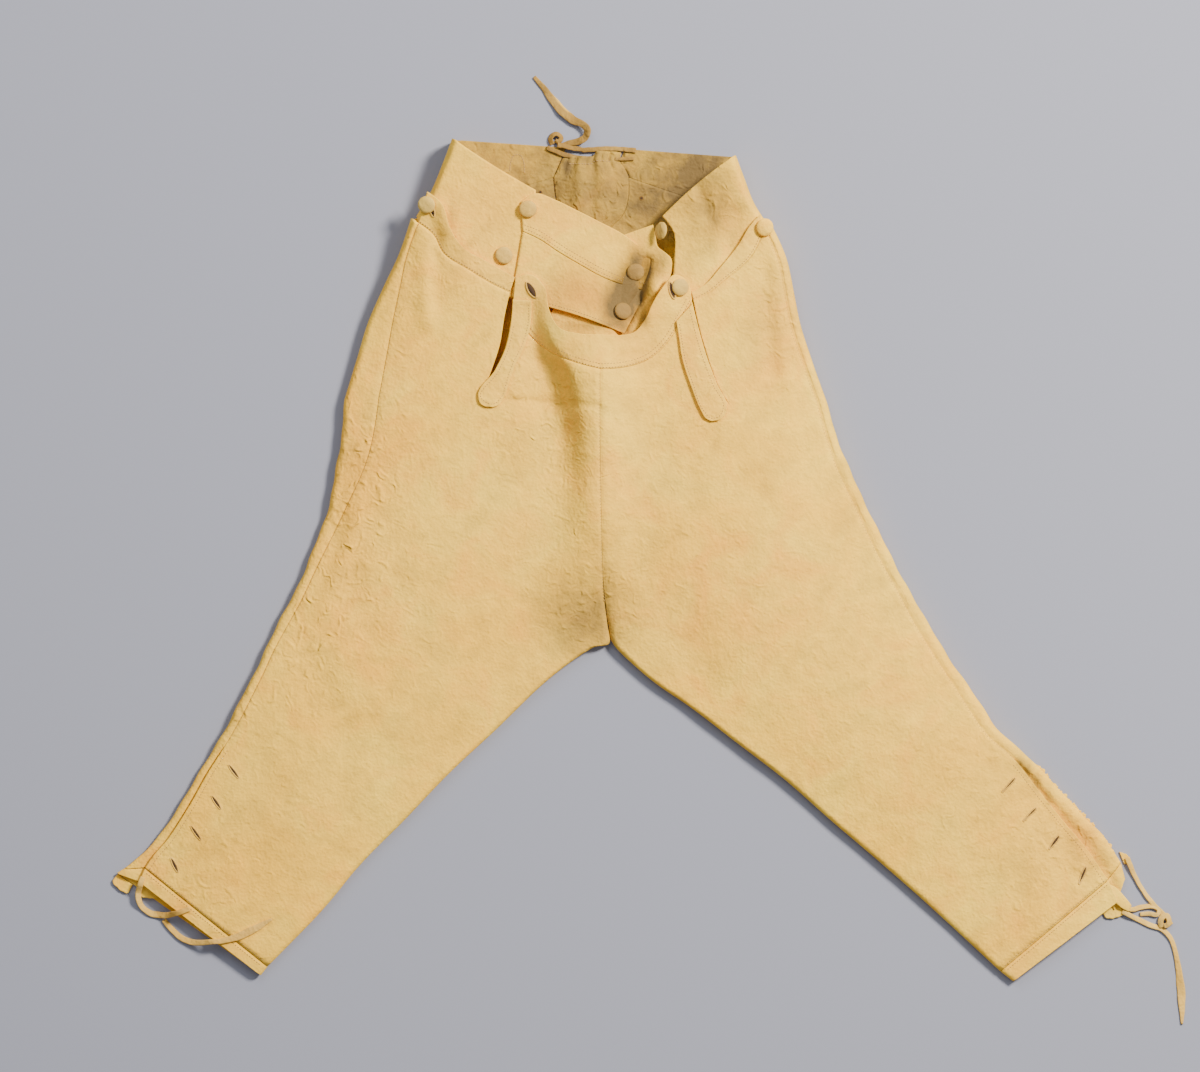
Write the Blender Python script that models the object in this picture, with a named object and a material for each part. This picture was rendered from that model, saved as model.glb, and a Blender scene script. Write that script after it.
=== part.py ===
"""Buckskin breeches laid flat, front side up.

Every piece is a wall of leather worked out from sizes in millimetres.
The plan sizes u (to the right) and v (down) are read on a mat of
1200 x 1072 mm on which the breeches lie; place() turns them into the part's
frame, in metres with +Z up from the mat.

  z of the front leather at (u, v) = lay(u, v) + sum of folds(u, v)

lay() is a thin-plate surface through the heights in the section tables, and
each fold is a soft ridge or trough along a line.  Layers of leather lie on it
LAYER millimetres apart.
"""
import math

import bmesh
import bpy
import numpy as np

for old in list(bpy.data.objects):
    bpy.data.objects.remove(old, do_unlink=True)

# sizes in mm
WALL = 1.8            # leather
SEAM = 0.3            # between neighbouring pieces
LAYER = WALL + 0.5    # from one layer of leather to the next
FLAT = WALL / 2       # middle of the leather that lies on the mat
ROLL = 6.0            # width of the turn at the inner edge of a leg
MID_U, MID_V = 618.0, 558.0   # the mat point under the part's origin
BUTTON_R, BUTTON_H = 8.8, 4.6
TIE = 2.2             # half width of a leather tie

# Sections of each half, from the end of the fall's slit to the hem seam:
# outer edge u v | side seam or vent edge u v | inner edge u v |
# height outside, middle, inside | share of the crotch turn
LEG_LEFT = [
    (345, 400, 379, 397, 600.0, 410, 14, 27, 25, 0.0),
    (339, 457, 368, 457, 600.5, 465, 13, 26, 24, 0.0),
    (328, 510, 345, 510, 601.5, 520, 12, 25, 21, 0.0),
    (306, 569, 316, 569, 603.0, 575, 12, 23, 17, 0.0),
    (290, 602, 301, 601, 605.0, 603, 12, 22, 15, 0.20),
    (276, 630, 287, 626, 608.0, 625, 12, 22, 13, 0.60),
    (263, 655, 274, 650, 609.9, 643, 12, 21, 12, 1.0),
    (252, 680, 263, 674, 592.0, 648, 12, 21, 11, 1.0),
    (243, 697, 254, 692, 568.0, 664, 12, 20, 11, 1.0),
    (232, 718, 243, 714, 540.0, 687, 12, 20, 11, 1.0),
    (218, 742, 228, 741, 500.0, 726, 12, 19, 11, 1.0),
    (202, 770, 209, 771, 455.0, 768, 11, 18, 11, 1.0),
    (178, 808, 188, 808, 404.0, 821, 11, 17, 10, 1.0),
    (156, 841, 167, 840, 357.0, 869, 10, 15, 10, 1.0),
    (137, 860, 153, 856, 314.0, 920, 9, 13, 9, 1.0),
    (125, 869, 145, 868, 268.0, 967, 9, 12, 9, 1.0),
]
LEG_RIGHT = [
    (826, 402, 817, 402, 600.0, 410, 14, 27, 25, 0.0),
    (845, 461, 835, 463, 600.5, 465, 13, 26, 24, 0.0),
    (869, 512, 859, 515, 601.5, 520, 12, 25, 21, 0.0),
    (893, 562, 883, 565, 603.0, 575, 12, 23, 17, 0.0),
    (909, 590, 899, 594, 605.0, 603, 12, 22, 15, 0.20),
    (923, 617, 913, 621, 608.0, 625, 12, 22, 13, 0.60),
    (938, 641, 928, 646, 612.1, 643, 12, 21, 12, 1.0),
    (952, 663, 942, 668, 628.0, 660, 12, 21, 11, 1.0),
    (966, 684, 956, 689, 655.0, 683, 12, 20, 11, 1.0),
    (980, 705, 970, 711, 690.0, 707, 12, 20, 11, 1.0),
    (998, 730, 988, 736, 733.0, 740, 12, 19, 11, 1.0),
    (1022, 752, 1011, 759, 780.0, 776, 11, 18, 11, 1.0),
    (1053, 784, 1037, 796, 830.0, 820, 11, 17, 10, 1.0),
    (1082, 814, 1061, 824, 878.0, 861, 10, 15, 10, 1.0),
    (1105, 840, 1081, 850, 930.0, 907, 9, 13, 9, 1.0),
    (1121, 864, 1103, 882, 996.0, 970, 9, 12, 9, 1.0),
]
# Hem edge: back outer u v | vent corner u v | inner corner u v
HEM_LEFT = (117, 874, 139, 882, 261, 976)
HEM_RIGHT = (1124, 880, 1121, 907, 1006, 981)

# Sections of the seat above the slit's end:
# outer edge u v | side seam u v | gusset or back seam u v | height outside
SEAT_LEFT = [
    (412, 219, 419, 224, 553, 177, 31),
    (400, 254, 407, 257, 560, 216, 26),
    (384, 288, 400, 289, 582, 258, 21),
    (369, 322, 393, 322, 599, 292, 17),
    (357, 361, 386, 360, 600, 350, 15),
    (345, 400, 379, 397, 600, 410, 14),
]
SEAT_RIGHT = [
    (771, 226, 764, 230, 629, 177, 27),
    (786, 260, 778, 262, 625, 216, 21),
    (793, 292, 784, 294, 612, 258, 18),
    (799, 322, 790, 324, 601, 292, 16),
    (811, 360, 802, 361, 600, 350, 15),
    (826, 402, 817, 402, 600, 410, 14),
]
# Heights of the front leather over the hips: u v height
HIPS = [
    (453, 139, 42), (432, 193, 38), (475, 188, 38), (446, 250, 34),
    (540, 193, 32), (508, 240, 31), (480, 300, 29), (428, 330, 25),
    (560, 250, 28), (600, 225, 26), (600, 290, 25), (651, 255, 25),
    (660, 218, 26), (600, 370, 27), (545, 330, 25), (700, 182, 30),
    (735, 157, 35), (752, 205, 32), (700, 240, 29), (740, 275, 28),
    (680, 290, 27), (720, 340, 27), (765, 345, 24), (650, 335, 26),
]
# Main creases: from u v | to u v | half width | height (trough below zero)
FOLDS = [
    (604, 330, 594, 560, 30, 9.0),     # ridge down the front seam under the mouth
    (530, 318, 572, 470, 24, -6.0),    # trough beside it
    (592, 548, 600, 640, 20, -2.5),    # towards the crotch
    (505, 398, 598, 408, 8, -1.6),     # across the fall
    (424, 232, 428, 322, 9, 2.6),      # hip roll, left
    (437, 236, 436, 300, 7, -2.4),
    (776, 262, 786, 380, 9, 1.8),      # hip roll, right
    (764, 270, 772, 372, 8, -1.6),
    (700, 188, 712, 214, 8, -2.0),     # waist, right
    (736, 214, 728, 248, 9, -2.0),
    (334, 520, 372, 640, 16, -1.8),    # thigh, left
    (362, 500, 330, 610, 12, 1.6),
    (300, 640, 344, 742, 16, -1.4),
    (860, 560, 800, 660, 22, -1.6),    # thigh, right
    (905, 660, 840, 742, 20, 1.4),
    (640, 560, 700, 680, 24, -1.8),
    (560, 600, 470, 700, 24, 1.6),
    (1060, 822, 1074, 876, 7, -1.4),   # beside the knee holes
]


def cubic(rows, t):
    """Smooth curve through the rows, at the shares t of its chord length."""
    p = np.asarray(rows, float)
    t = np.asarray(t, float)
    step = np.maximum(np.linalg.norm(np.diff(p[:, :2], axis=0), axis=1), 1e-6)
    s = np.concatenate([[0], np.cumsum(step)])
    s = s / s[-1]
    if len(p) == 2:
        return p[0] + (p[1] - p[0]) * t[:, None]
    h = np.diff(s)
    d = np.diff(p, axis=0) / h[:, None]
    m = np.empty_like(p)
    m[1:-1] = (d[:-1] * h[1:, None] + d[1:] * h[:-1, None]) / (h[:-1] + h[1:])[:, None]
    m[0], m[-1] = 1.5 * d[0] - 0.5 * m[1], 1.5 * d[-1] - 0.5 * m[-2]
    k = np.clip(np.searchsorted(s, t, side="right") - 1, 0, len(h) - 1)
    x = ((t - s[k]) / h[k])[:, None]
    hk = h[k][:, None]
    return (
        p[k] * (1 + 2 * x) * (1 - x) ** 2
        + p[k + 1] * x**2 * (3 - 2 * x)
        + m[k] * hk * x * (1 - x) ** 2
        + m[k + 1] * hk * x**2 * (x - 1)
    )


def knots():
    """Height points of the whole front: u, v, z."""
    out = [row for row in HIPS]
    for table in (LEG_LEFT, LEG_RIGHT):
        for ou, ov, su, sv, iu, iv, zo, zm, zi, _ in table:
            out += [(ou, ov, zo), ((ou + iu) / 2, (ov + iv) / 2, zm), (iu, iv, zi)]
            out += [(ou * 0.8 + iu * 0.2, ov * 0.8 + iv * 0.2, zo * 0.3 + zm * 0.7)]
    for table in (SEAT_LEFT, SEAT_RIGHT):
        out += [(r[0], r[1], r[6]) for r in table[:-1]]
    out += [(HEM_LEFT[2], HEM_LEFT[3], 8.5), (HEM_LEFT[4], HEM_LEFT[5], 8.5)]
    out += [(HEM_RIGHT[2], HEM_RIGHT[3], 8.5), (HEM_RIGHT[4], HEM_RIGHT[5], 8.5)]
    pts = np.array(out, float)
    keep = [0]
    for i in range(1, len(pts)):
        if np.min(np.linalg.norm(pts[keep][:, :2] - pts[i, :2], axis=1)) > 4:
            keep.append(i)
    return pts[keep]


KNOTS = knots()


def bend(d2):
    return 0.5 * d2 * np.log(np.maximum(d2, 1e-9))


def fit():
    n = len(KNOTS)
    d2 = ((KNOTS[:, None, :2] - KNOTS[None, :, :2]) ** 2).sum(-1)
    one = np.c_[np.ones(n), KNOTS[:, :2] / 1000]
    a = np.zeros((n + 3, n + 3))
    a[:n, :n] = bend(d2) / 1e4 + np.eye(n) * 0.3
    a[:n, n:], a[n:, :n] = one, one.T
    return np.linalg.solve(a, np.r_[KNOTS[:, 2], 0, 0, 0])


WEIGHTS = fit()


def folds(uv):
    z = np.zeros(len(uv))
    for u0, v0, u1, v1, half, high in FOLDS:
        a, b = np.array([u0, v0], float), np.array([u1, v1], float)
        ab = b - a
        s = (uv - a) @ ab / (ab @ ab)
        off = np.linalg.norm(uv - (a + np.clip(s, 0, 1)[:, None] * ab), axis=1) / half
        z += high * np.exp(-off**2) * (0.75 + 0.25 * np.cos(3.1 * s + half))
    return z


def top(uv):
    """Height of the front leather's middle over the mat."""
    uv = np.atleast_2d(np.asarray(uv, float))[:, :2]
    d2 = ((uv[:, None, :] - KNOTS[None, :, :2]) ** 2).sum(-1)
    n = len(KNOTS)
    z = (bend(d2) / 1e4) @ WEIGHTS[:n] + WEIGHTS[n] + uv / 1000 @ WEIGHTS[n + 1 :]
    return np.maximum(z + folds(uv), 6.0)


def raised(uv, layer=0.0):
    """Plan points with the height of the front leather, `layer` layers up."""
    uv = np.asarray(uv, float)
    flat = uv.reshape(-1, uv.shape[-1])[:, :2]
    z = top(flat) + layer * LAYER
    return np.c_[flat, z].reshape(uv.shape[:-1] + (3,))


def place(p):
    p = np.asarray(p, float).reshape(-1, 3)
    return np.c_[p[:, 0] - MID_U, MID_V - p[:, 1], p[:, 2]] / 1000


def leather(name):
    mat = bpy.data.materials.get("leather")
    if mat is None:
        mat = bpy.data.materials.new("leather")
        mat.use_nodes = True
        shader = mat.node_tree.nodes["Principled BSDF"]
        shader.inputs["Base Color"].default_value = (0.66, 0.46, 0.24, 1)
        shader.inputs["Roughness"].default_value = 0.85
    return mat


def solid(name, verts, faces):
    mesh = bpy.data.meshes.new(name)
    mesh.from_pydata([tuple(map(float, v)) for v in verts], [], faces)
    bm = bmesh.new()
    bm.from_mesh(mesh)
    bmesh.ops.recalc_face_normals(bm, faces=bm.faces)
    bm.to_mesh(mesh)
    bm.free()
    mesh.materials.append(leather(name))
    obj = bpy.data.objects.new(name, mesh)
    bpy.context.scene.collection.objects.link(obj)
    return obj


def wall(name, grids, thick=WALL, floor=None):
    """One wall of leather on the middle surfaces in grids (rows x columns x 3)."""
    pts, quads, base = [], [], 0
    for g in grids:
        r, c = g.shape[:2]
        pts.append(place(g))
        i = base + np.arange(r * c).reshape(r, c)
        quads.append(
            np.stack([i[:-1, :-1], i[:-1, 1:], i[1:, 1:], i[1:, :-1]], -1).reshape(-1, 4)
        )
        base += r * c
    pts, quads = np.concatenate(pts), np.concatenate(quads)
    key = np.round(pts / 2e-5).astype(np.int64)
    _, first, back = np.unique(key, axis=0, return_index=True, return_inverse=True)
    pts, quads = pts[first], back.reshape(-1)[quads]
    tri = np.concatenate([quads[:, [0, 1, 2]], quads[:, [0, 2, 3]]])
    n = np.cross(pts[tri[:, 1]] - pts[tri[:, 0]], pts[tri[:, 2]] - pts[tri[:, 0]])
    normal = np.zeros_like(pts)
    for k in range(3):
        np.add.at(normal, tri[:, k], n)
    normal /= np.maximum(np.linalg.norm(normal, axis=1), 1e-15)[:, None]
    half = thick / 2000
    up, down = pts + normal * half, pts - normal * half
    if floor is not None:
        up[:, 2] = np.maximum(up[:, 2], floor)
        down[:, 2] = np.maximum(down[:, 2], floor)
    m = len(pts)
    edges = {}
    for q in quads.tolist():
        for a, b in zip(q, q[1:] + q[:1]):
            edges[(a, b)] = True
    rim = [(a, b) for (a, b) in edges if (b, a) not in edges]
    faces = [tuple(q) for q in quads.tolist()]
    faces += [tuple(m + i for i in reversed(q)) for q in quads.tolist()]
    faces += [(b, a, a + m, b + m) for a, b in rim]
    return solid(name, np.concatenate([up, down]), faces)


TURN = np.radians([90, 62, 34, 10, 0])       # turn of the inner edge, to the seam
BACK_TURN = np.radians([0, 30, 60, 90, 120, 150, 180])


def side_of(left):
    return 1.0 if left else -1.0


def between(rows, at):
    """Rows at fractional row numbers, on the smooth curve through them."""
    p = np.asarray(rows, float)
    s = np.r_[0, np.cumsum(np.linalg.norm(np.diff(p[:, :2], axis=0), axis=1))]
    return cubic(p, np.interp(at, np.arange(len(p)), s / s[-1]))


SEAT_AT = [0, 0.5, 1, 1.5, 2, 2.5, 3, 4, 5]      # row 3 is the gusset's tip
LEG_AT = [0, 0.5, 1, 1.5, 2, 2.5, 3, 3.6, 4, 4.5, 5, 5.5, 6, 6.5, 7, 8, 9, 10, 11, 12, 13, 14, 15]
VENT_AT = 10                                     # the knee vent begins here


def sections(left):
    """Section rows of one leg: outer, seam, inner, heights, turn share."""
    rows = between(LEG_LEFT if left else LEG_RIGHT, LEG_AT)
    rows[np.array(LEG_AT) <= 3, 9] = 0.0
    rows[np.array(LEG_AT) >= 6, 9] = 1.0
    rows[:, 9] = np.clip(rows[:, 9], 0, 1)
    return rows


def seat_rows(left):
    return between(SEAT_LEFT if left else SEAT_RIGHT, SEAT_AT)


def turn_end(high, turn):
    """Rise to mid height, inset of the edge, of a turn at the inner edge."""
    rise = (high - FLAT) / 2
    tilt = 1.0 if turn > 0.999 else math.sin(math.atan(2 * rise * turn / ROLL))
    return rise, SEAM / 2 + 0.75 * WALL * tilt


def turn_drop(rise, turn):
    """Fall of the leather along the turn, at its columns."""
    if turn > 0.999:
        return (1 - np.sin(TURN)) * rise
    return rise * turn * np.cos(TURN) ** 2


def front_row(seam, inner, turn, n, left, gap=SEAM / 2):
    """One row of the front panel from the side seam to the inner edge."""
    seam, inner = np.asarray(seam, float), np.asarray(inner, float)
    length = np.linalg.norm(inner - seam)
    way = (inner - seam) / length
    seam = seam + way * gap
    rise, inset = turn_end(float(top(inner - way * ROLL)[0]), turn)
    end = inner - way * inset
    length = np.linalg.norm(end - seam)
    x = np.linspace(0, length - ROLL, n + 1)
    uv = seam + x[:, None] * way
    z = top(uv)
    uv2 = seam + (length - ROLL + ROLL * np.cos(TURN[1:]))[:, None] * way
    z2 = (z[-1] if turn > 0.999 else top(uv2)) - turn_drop(rise, turn)[1:]
    if turn > 0.999:
        z2[-1] += SEAM / 2
    return np.concatenate([np.c_[uv, z], np.c_[uv2, z2]])


def back_row(outer, seam, inner, turn, n, left, lap=0.0, sunk=0.0, gap=SEAM / 2):
    """One row of the back panel, from the inner edge round the outer one."""
    outer, seam, inner = (np.asarray(a, float) for a in (outer, seam, inner))
    length = np.linalg.norm(inner - outer)
    way = (inner - outer) / length          # to the inside
    rise, edge = turn_end(float(top(inner - way * ROLL)[0]), turn)
    end = inner - way * edge
    uv = end - (ROLL * (1 - np.cos(TURN[::-1])))[:, None] * way
    z = FLAT + turn_drop(rise, turn)[::-1]
    if turn > 0.999:
        z[0] -= SEAM / 2
    rows = [np.c_[uv, z]]
    strip = seam - outer
    inset = np.linalg.norm(strip)
    over = strip / inset
    wide = min(0.72 * inset, 7.0)
    flat = np.linalg.norm(end - outer) - ROLL - wide
    x = np.linspace(0, 1, n + 1)[1:-1]
    a = uv[-1]
    b = outer + way * wide
    rows.append(np.c_[a + x[:, None] * (b - a), np.full(len(x), FLAT)])
    hi = float(top(outer + over * wide)[0]) - sunk
    ang = BACK_TURN
    mix = (ang / math.pi)[:, None]
    d = way * (1 - mix) + over * mix
    uv = outer + wide * (1 - np.sin(ang))[:, None] * d
    z = (hi + FLAT) / 2 - (hi - FLAT) / 2 * np.cos(ang)
    rows.append(np.c_[uv, z])
    stop = inset + lap - gap if lap == 0 else inset + lap
    x = np.linspace(wide, stop, 4)[1:]
    uv = outer + x[:, None] * over
    rows.append(np.c_[uv, top(uv) - sunk])
    return np.concatenate(rows)


# Front panels: side part, fall part and leg in one piece of leather, cut by the slit
FRONT = {
    True: dict(
        side=6, fall=7,
        top_side=[(419, 225), (434, 236), (444, 254), (468, 270), (495, 286), (510, 293)],
        slit_side=[(510, 293), (505, 315), (500, 345), (492, 370), (480.5, 397.2)],
        top_fall=[(514, 306), (522, 326), (536, 342), (552, 353), (574, 363), (600, 370)],
        slit_fall=[(514, 306), (512, 335), (508, 350), (498, 370), (480.5, 397.2)],
    ),
    False: dict(
        side=5, fall=7,
        top_side=[(764, 231), (750, 258), (725, 280), (706, 295), (693, 301)],
        slit_side=[(693, 301), (700, 333), (708, 360), (717, 385), (727, 405.3)],
        top_fall=[(691.6, 301), (680, 322), (668, 342), (650, 359), (625, 368), (600, 370)],
        slit_fall=[(691.6, 301), (698.6, 333), (706.6, 360), (716, 385), (727, 405.3)],
    ),
}


def front(left):
    """Side part, fall part and leg of one front, as grids that share edges."""
    spec = FRONT[left]
    n, k = spec["side"] + spec["fall"], spec["side"]
    leg = np.array([front_row(r[2:4], r[4:6], r[9], n, left) for r in sections(left)])
    first = leg[0]
    cut = first[k, :2]
    seam = seat_rows(left)[:, 2:4] + np.array([side_of(left) * SEAM / 2, 0.0])
    seam[-1] = first[0, :2]
    slit_a = cubic([*spec["slit_side"][:-1], cut], np.linspace(0, 1, len(seam)))
    f = np.linspace(0, 1, k + 1)
    line = seam[:, None] * (1 - f[:, None]) + slit_a[:, None] * f[:, None]
    fade = (1 - np.linspace(0, 1, len(seam)))[:, None, None] ** 1.5
    a = line + (cubic([seam[0], *spec["top_side"][1:-1], slit_a[0]], f) - line[0]) * fade
    tail = first[k:, :2]
    fb = np.linalg.norm(tail - tail[0], axis=1) / np.linalg.norm(tail[-1] - tail[0])
    t = np.linspace(0, 1, 6)
    slit_b = cubic([*spec["slit_fall"][:-1], cut], t)
    u0 = 600.0 - side_of(left) * SEAM / 2
    mid = cubic([(u0, 370.0), (u0, 390.0), first[-1, :2]], t)
    line = slit_b[:, None] * (1 - fb[:, None]) + mid[:, None] * fb[:, None]
    fade = (1 - t)[:, None, None] ** 1.5
    b = line + (cubic([*spec["top_fall"][:-1], mid[0]], fb) - line[0]) * fade
    grids = [raised(a), raised(b), leg]
    grids[0][-1], grids[1][-1] = first[: k + 1], first[k:]
    return grids


FRONT_GRIDS = {left: front(left) for left in (True, False)}
wall("front_left", FRONT_GRIDS[True])
wall("front_right", FRONT_GRIDS[False])


def back(left):
    rows = [(*r[:6], 0.0, 0.0, 0.0) for r in seat_rows(left)[:-1]]
    for at, r in zip(LEG_AT, sections(left)):
        rows.append((*r[:6], r[9], float(at > VENT_AT), 9.0 * (at > VENT_AT + 1)))
    return [np.array([
        back_row(r[0:2], r[2:4], r[4:6], r[6], 6, left, r[8], 1.2 * LAYER * r[7]) for r in rows
    ])]


wall("back_left", back(True))
wall("back_right", back(False))


def hem(left):
    """Hem band: the last stretch of the leg, all round from vent to vent."""
    leg = (LEG_LEFT if left else LEG_RIGHT)[-1]
    ou, ov, su, sv, iu, iv = HEM_LEFT if left else HEM_RIGHT
    a = np.array(leg[:6], float)
    b = np.array((ou, ov, su, sv, iu, iv), float)
    rows = []
    for t in np.linspace(0, 1, 4):
        shift = 0.06
        r = a + (b - a) * (shift + (1 - shift) * t)
        f = front_row(r[2:4], r[4:6], 1.0, 9, left, gap=0.0)
        k = back_row(r[0:2], r[2:4], r[4:6], 1.0, 7, left, 9.0, 1.2 * LAYER)
        f[-1, 2] = k[0, 2] = (f[-1, 2] + k[0, 2]) / 2
        f[-1, :2] = k[0, :2]
        rows.append(np.concatenate([f, k[1:]]))
    return [np.array(rows)]


wall("hem_band_left", hem(True))
wall("hem_band_right", hem(False))

# Waistbands: outer fold | back end | front end | bow of the front rows
WAIST = {
    True: dict(fold=[(453, 139.5), (443, 166), (432, 192), (418, 213)],
               back=[(566, 147), (553.2, 176.6)], front=[(536, 191), (534, 303)],
               bow=[(492, 167), (436, 286)], into=[(1, 0.03), (0.97, -0.2)]),
    False: dict(fold=[(735, 156), (744, 180), (753, 203), (765, 221)],
                back=[(630, 148), (629.2, 176.6)], front=[(658, 220), (676, 306)],
                bow=[(694, 184), (742, 292)], into=[(-1, -0.02), (-0.98, -0.18)]),
}


def waistband(left):
    w = WAIST[left]
    t = np.linspace(0, 1, 7)
    fold, end_b, end_f = (cubic(w[k], t) for k in ("fold", "back", "front"))
    bow, into = cubic(w["bow"], t), cubic(w["into"], t)
    rows = []
    for o, b, f, c, d in zip(fold, end_b, end_f, bow, into):
        wide = 8.0
        d = d / np.linalg.norm(d)
        ahead = (c - o) / np.linalg.norm(c - o)
        q = o + d * wide
        x = np.linspace(0, 1, 9)[:, None]
        back_uv = b + x * (q - b)
        part = [np.c_[back_uv[:-1], np.full(8, FLAT)]]
        hi = float(top(o + ahead * wide)[0]) - 2 * LAYER
        ang = np.radians(np.linspace(0, 180, 9))
        mix = (ang / math.pi)[:, None]
        way = d * (1 - mix) + ahead * mix
        uv = o + wide * (1 - np.sin(ang))[:, None] * way
        part.append(np.c_[uv, (hi + FLAT) / 2 - (hi - FLAT) / 2 * np.cos(ang)])
        s = o + ahead * wide
        x = np.linspace(0, 1, 9)[1:, None]
        uv = (1 - x) ** 2 * s + 2 * x * (1 - x) * c + x**2 * f
        part.append(np.c_[uv, top(uv) - 2 * LAYER])
        rows.append(np.concatenate(part))
    return [np.array(rows)]


wall("waistband_left", waistband(True))
wall("waistband_right", waistband(False))


def band(name, seam, edge, columns, rows, layer=0.0, lift=0.0, ends=None):
    """Strip between two plan curves; lift raises its free edge."""
    s = cubic(seam, np.linspace(0, 1, columns))
    e = cubic(edge, np.linspace(0, 1, columns))
    t = np.linspace(0, 1, rows)[:, None, None]
    uv = s[None] * (1 - t) + e[None] * t
    g = raised(uv, layer)
    g[..., 2] += lift * np.linspace(0, 1, rows)[:, None] ** 2
    return wall(name, [g])


def refined(row, per=2):
    """Points on the straight stretches of a row, so that it keeps its line."""
    at = np.linspace(0, len(row) - 1, (len(row) - 1) * per + 1)
    return np.stack([np.interp(at, np.arange(len(row)), row[:, k]) for k in range(3)], -1)


def joined(name, row, edge, rows, per=2, lift=None):
    """Band sewn to a panel's own edge row, out to the plan curve `edge`."""
    s = refined(row, per)
    share = np.r_[0, np.cumsum(np.linalg.norm(np.diff(s[:, :2], axis=0), axis=1))]
    e = cubic(edge, share / share[-1])
    out = e - s[:, :2]
    out /= np.linalg.norm(out, axis=1)[:, None]
    t = np.linspace(0, 1, rows)[:, None, None]
    start = s[:, :2] + out * 1.4 * SEAM
    uv = start[None] * (1 - t) + e[None] * t
    g = raised(uv)
    g[..., 2] += (s[:, 2] - top(s))[None] * (1 - t[..., 0]) ** 2
    if lift is not None:
        g[..., 2] += lift * t[..., 0] ** 2 * np.sin(np.pi * share / share[-1])
    return wall(name, [g])


joined("pocket_band_left", FRONT_GRIDS[True][0][0],
       [(428, 193), (441, 203), (452, 232), (463, 248), (487, 262), (515, 278)], 4)
joined("pocket_band_right", FRONT_GRIDS[False][0][0],
       [(760, 215), (750, 226), (738, 246), (721, 267), (705, 285), (691, 293)], 4)
middle = (FRONT_GRIDS[True][1][0][-1:] + FRONT_GRIDS[False][1][0][-1:]) / 2
mouth = np.concatenate([FRONT_GRIDS[True][1][0][:-3], middle, FRONT_GRIDS[False][1][0][:-3][::-1]])
joined("fall_band", mouth,
       [(515.5, 279), (531, 275), (545, 288), (549, 310), (560, 329), (578, 334.5), (600, 335.5),
        (621, 336), (634, 333), (645, 320), (653, 303), (664, 286), (673, 276), (689, 282)], 4, 2, 2.0)
band("fall_strip_left",
     [(513.4, 312), (511.2, 335), (507.4, 349), (497.4, 370), (479, 399), (484, 406)],
     [(532, 340), (524, 352), (516, 364), (511, 380), (503, 400), (495, 407)], 12, 4, 1.2)
band("fall_strip_right",
     [(690.9, 304), (697.6, 333), (705.6, 360), (715, 385), (726, 407), (722, 419)],
     [(676, 322), (678, 334), (682, 360), (690, 385), (701, 412), (711, 422)], 12, 4, 1.2)

band("bearer_band_left",
     [(523, 232), (540, 240), (558, 252), (580, 265), (604, 278), (646.5, 291)],
     [(521, 205), (536, 197), (556, 201.5), (577, 211), (600, 222.5), (622, 234), (651, 256)], 15, 4, -1.0)
band("bearer_left",
     [(512, 297), (551, 308), (575, 315), (597, 323), (624, 334)],
     [(523, 232.5), (540, 240.5), (558, 252.5), (580, 265.5), (604, 278.5), (646.4, 291.5)], 15, 6, -1.0)


def panel(name, left_edge, right_edge, columns, rows, layer):
    t, f = np.linspace(0, 1, rows), np.linspace(0, 1, columns)[None, :, None]
    a, b = cubic(left_edge, t)[:, None], cubic(right_edge, t)[:, None]
    return wall(name, [raised(a * (1 - f) + b * f, layer)])


panel("bearer_right",
      [(604, 242), (586, 276), (560, 300), (545, 325), (540, 352)],
      [(655, 223), (666, 246), (671, 264), (664, 284), (650, 312), (634, 350)], 9, 9, -3.0)


def gusset(puff=8.0, columns=9):
    """Puffed wedge between the two backs, gathered at its top edge."""
    a, b = (seat_rows(left)[:7, 4:6] for left in (True, False))
    a = np.r_[[(562.0, 166.5), (557.5, 172.0)], a]
    b = np.r_[[(624.0, 166.5), (627.5, 172.0)], b]
    f = np.linspace(0, 1, columns)
    in_ = np.minimum(0.65, 0.2 * (b - a)[:, 0])
    a, b = a + np.c_[in_, 0 * in_], b - np.c_[in_, 0 * in_]
    uv = a[:, None] * (1 - f[None, :, None]) + b[:, None] * f[None, :, None]
    wide = np.minimum(1, (b - a)[:, 0] / 60)[:, None]
    t = np.linspace(0, 1, len(a))[:, None]
    wave = 1 + 0.25 * np.cos(2 * np.pi * 3 * f)[None] * (1 - t)
    z = FLAT + puff * wide**1.5 * 4 * (f * (1 - f))[None] * np.sin(np.pi * (0.2 + 0.8 * t)) * wave
    return wall("back_gusset", [np.concatenate([uv, z[..., None]], -1)])


gusset()


def slope(u, v):
    """Unit normal of the front leather in the part's frame."""
    e = 2.0
    zu = (top([(u + e, v)])[0] - top([(u - e, v)])[0]) / (2 * e)
    zv = (top([(u, v + e)])[0] - top([(u, v - e)])[0]) / (2 * e)
    n = np.array([-zu, zv, 1.0])
    return n / np.linalg.norm(n)


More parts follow.
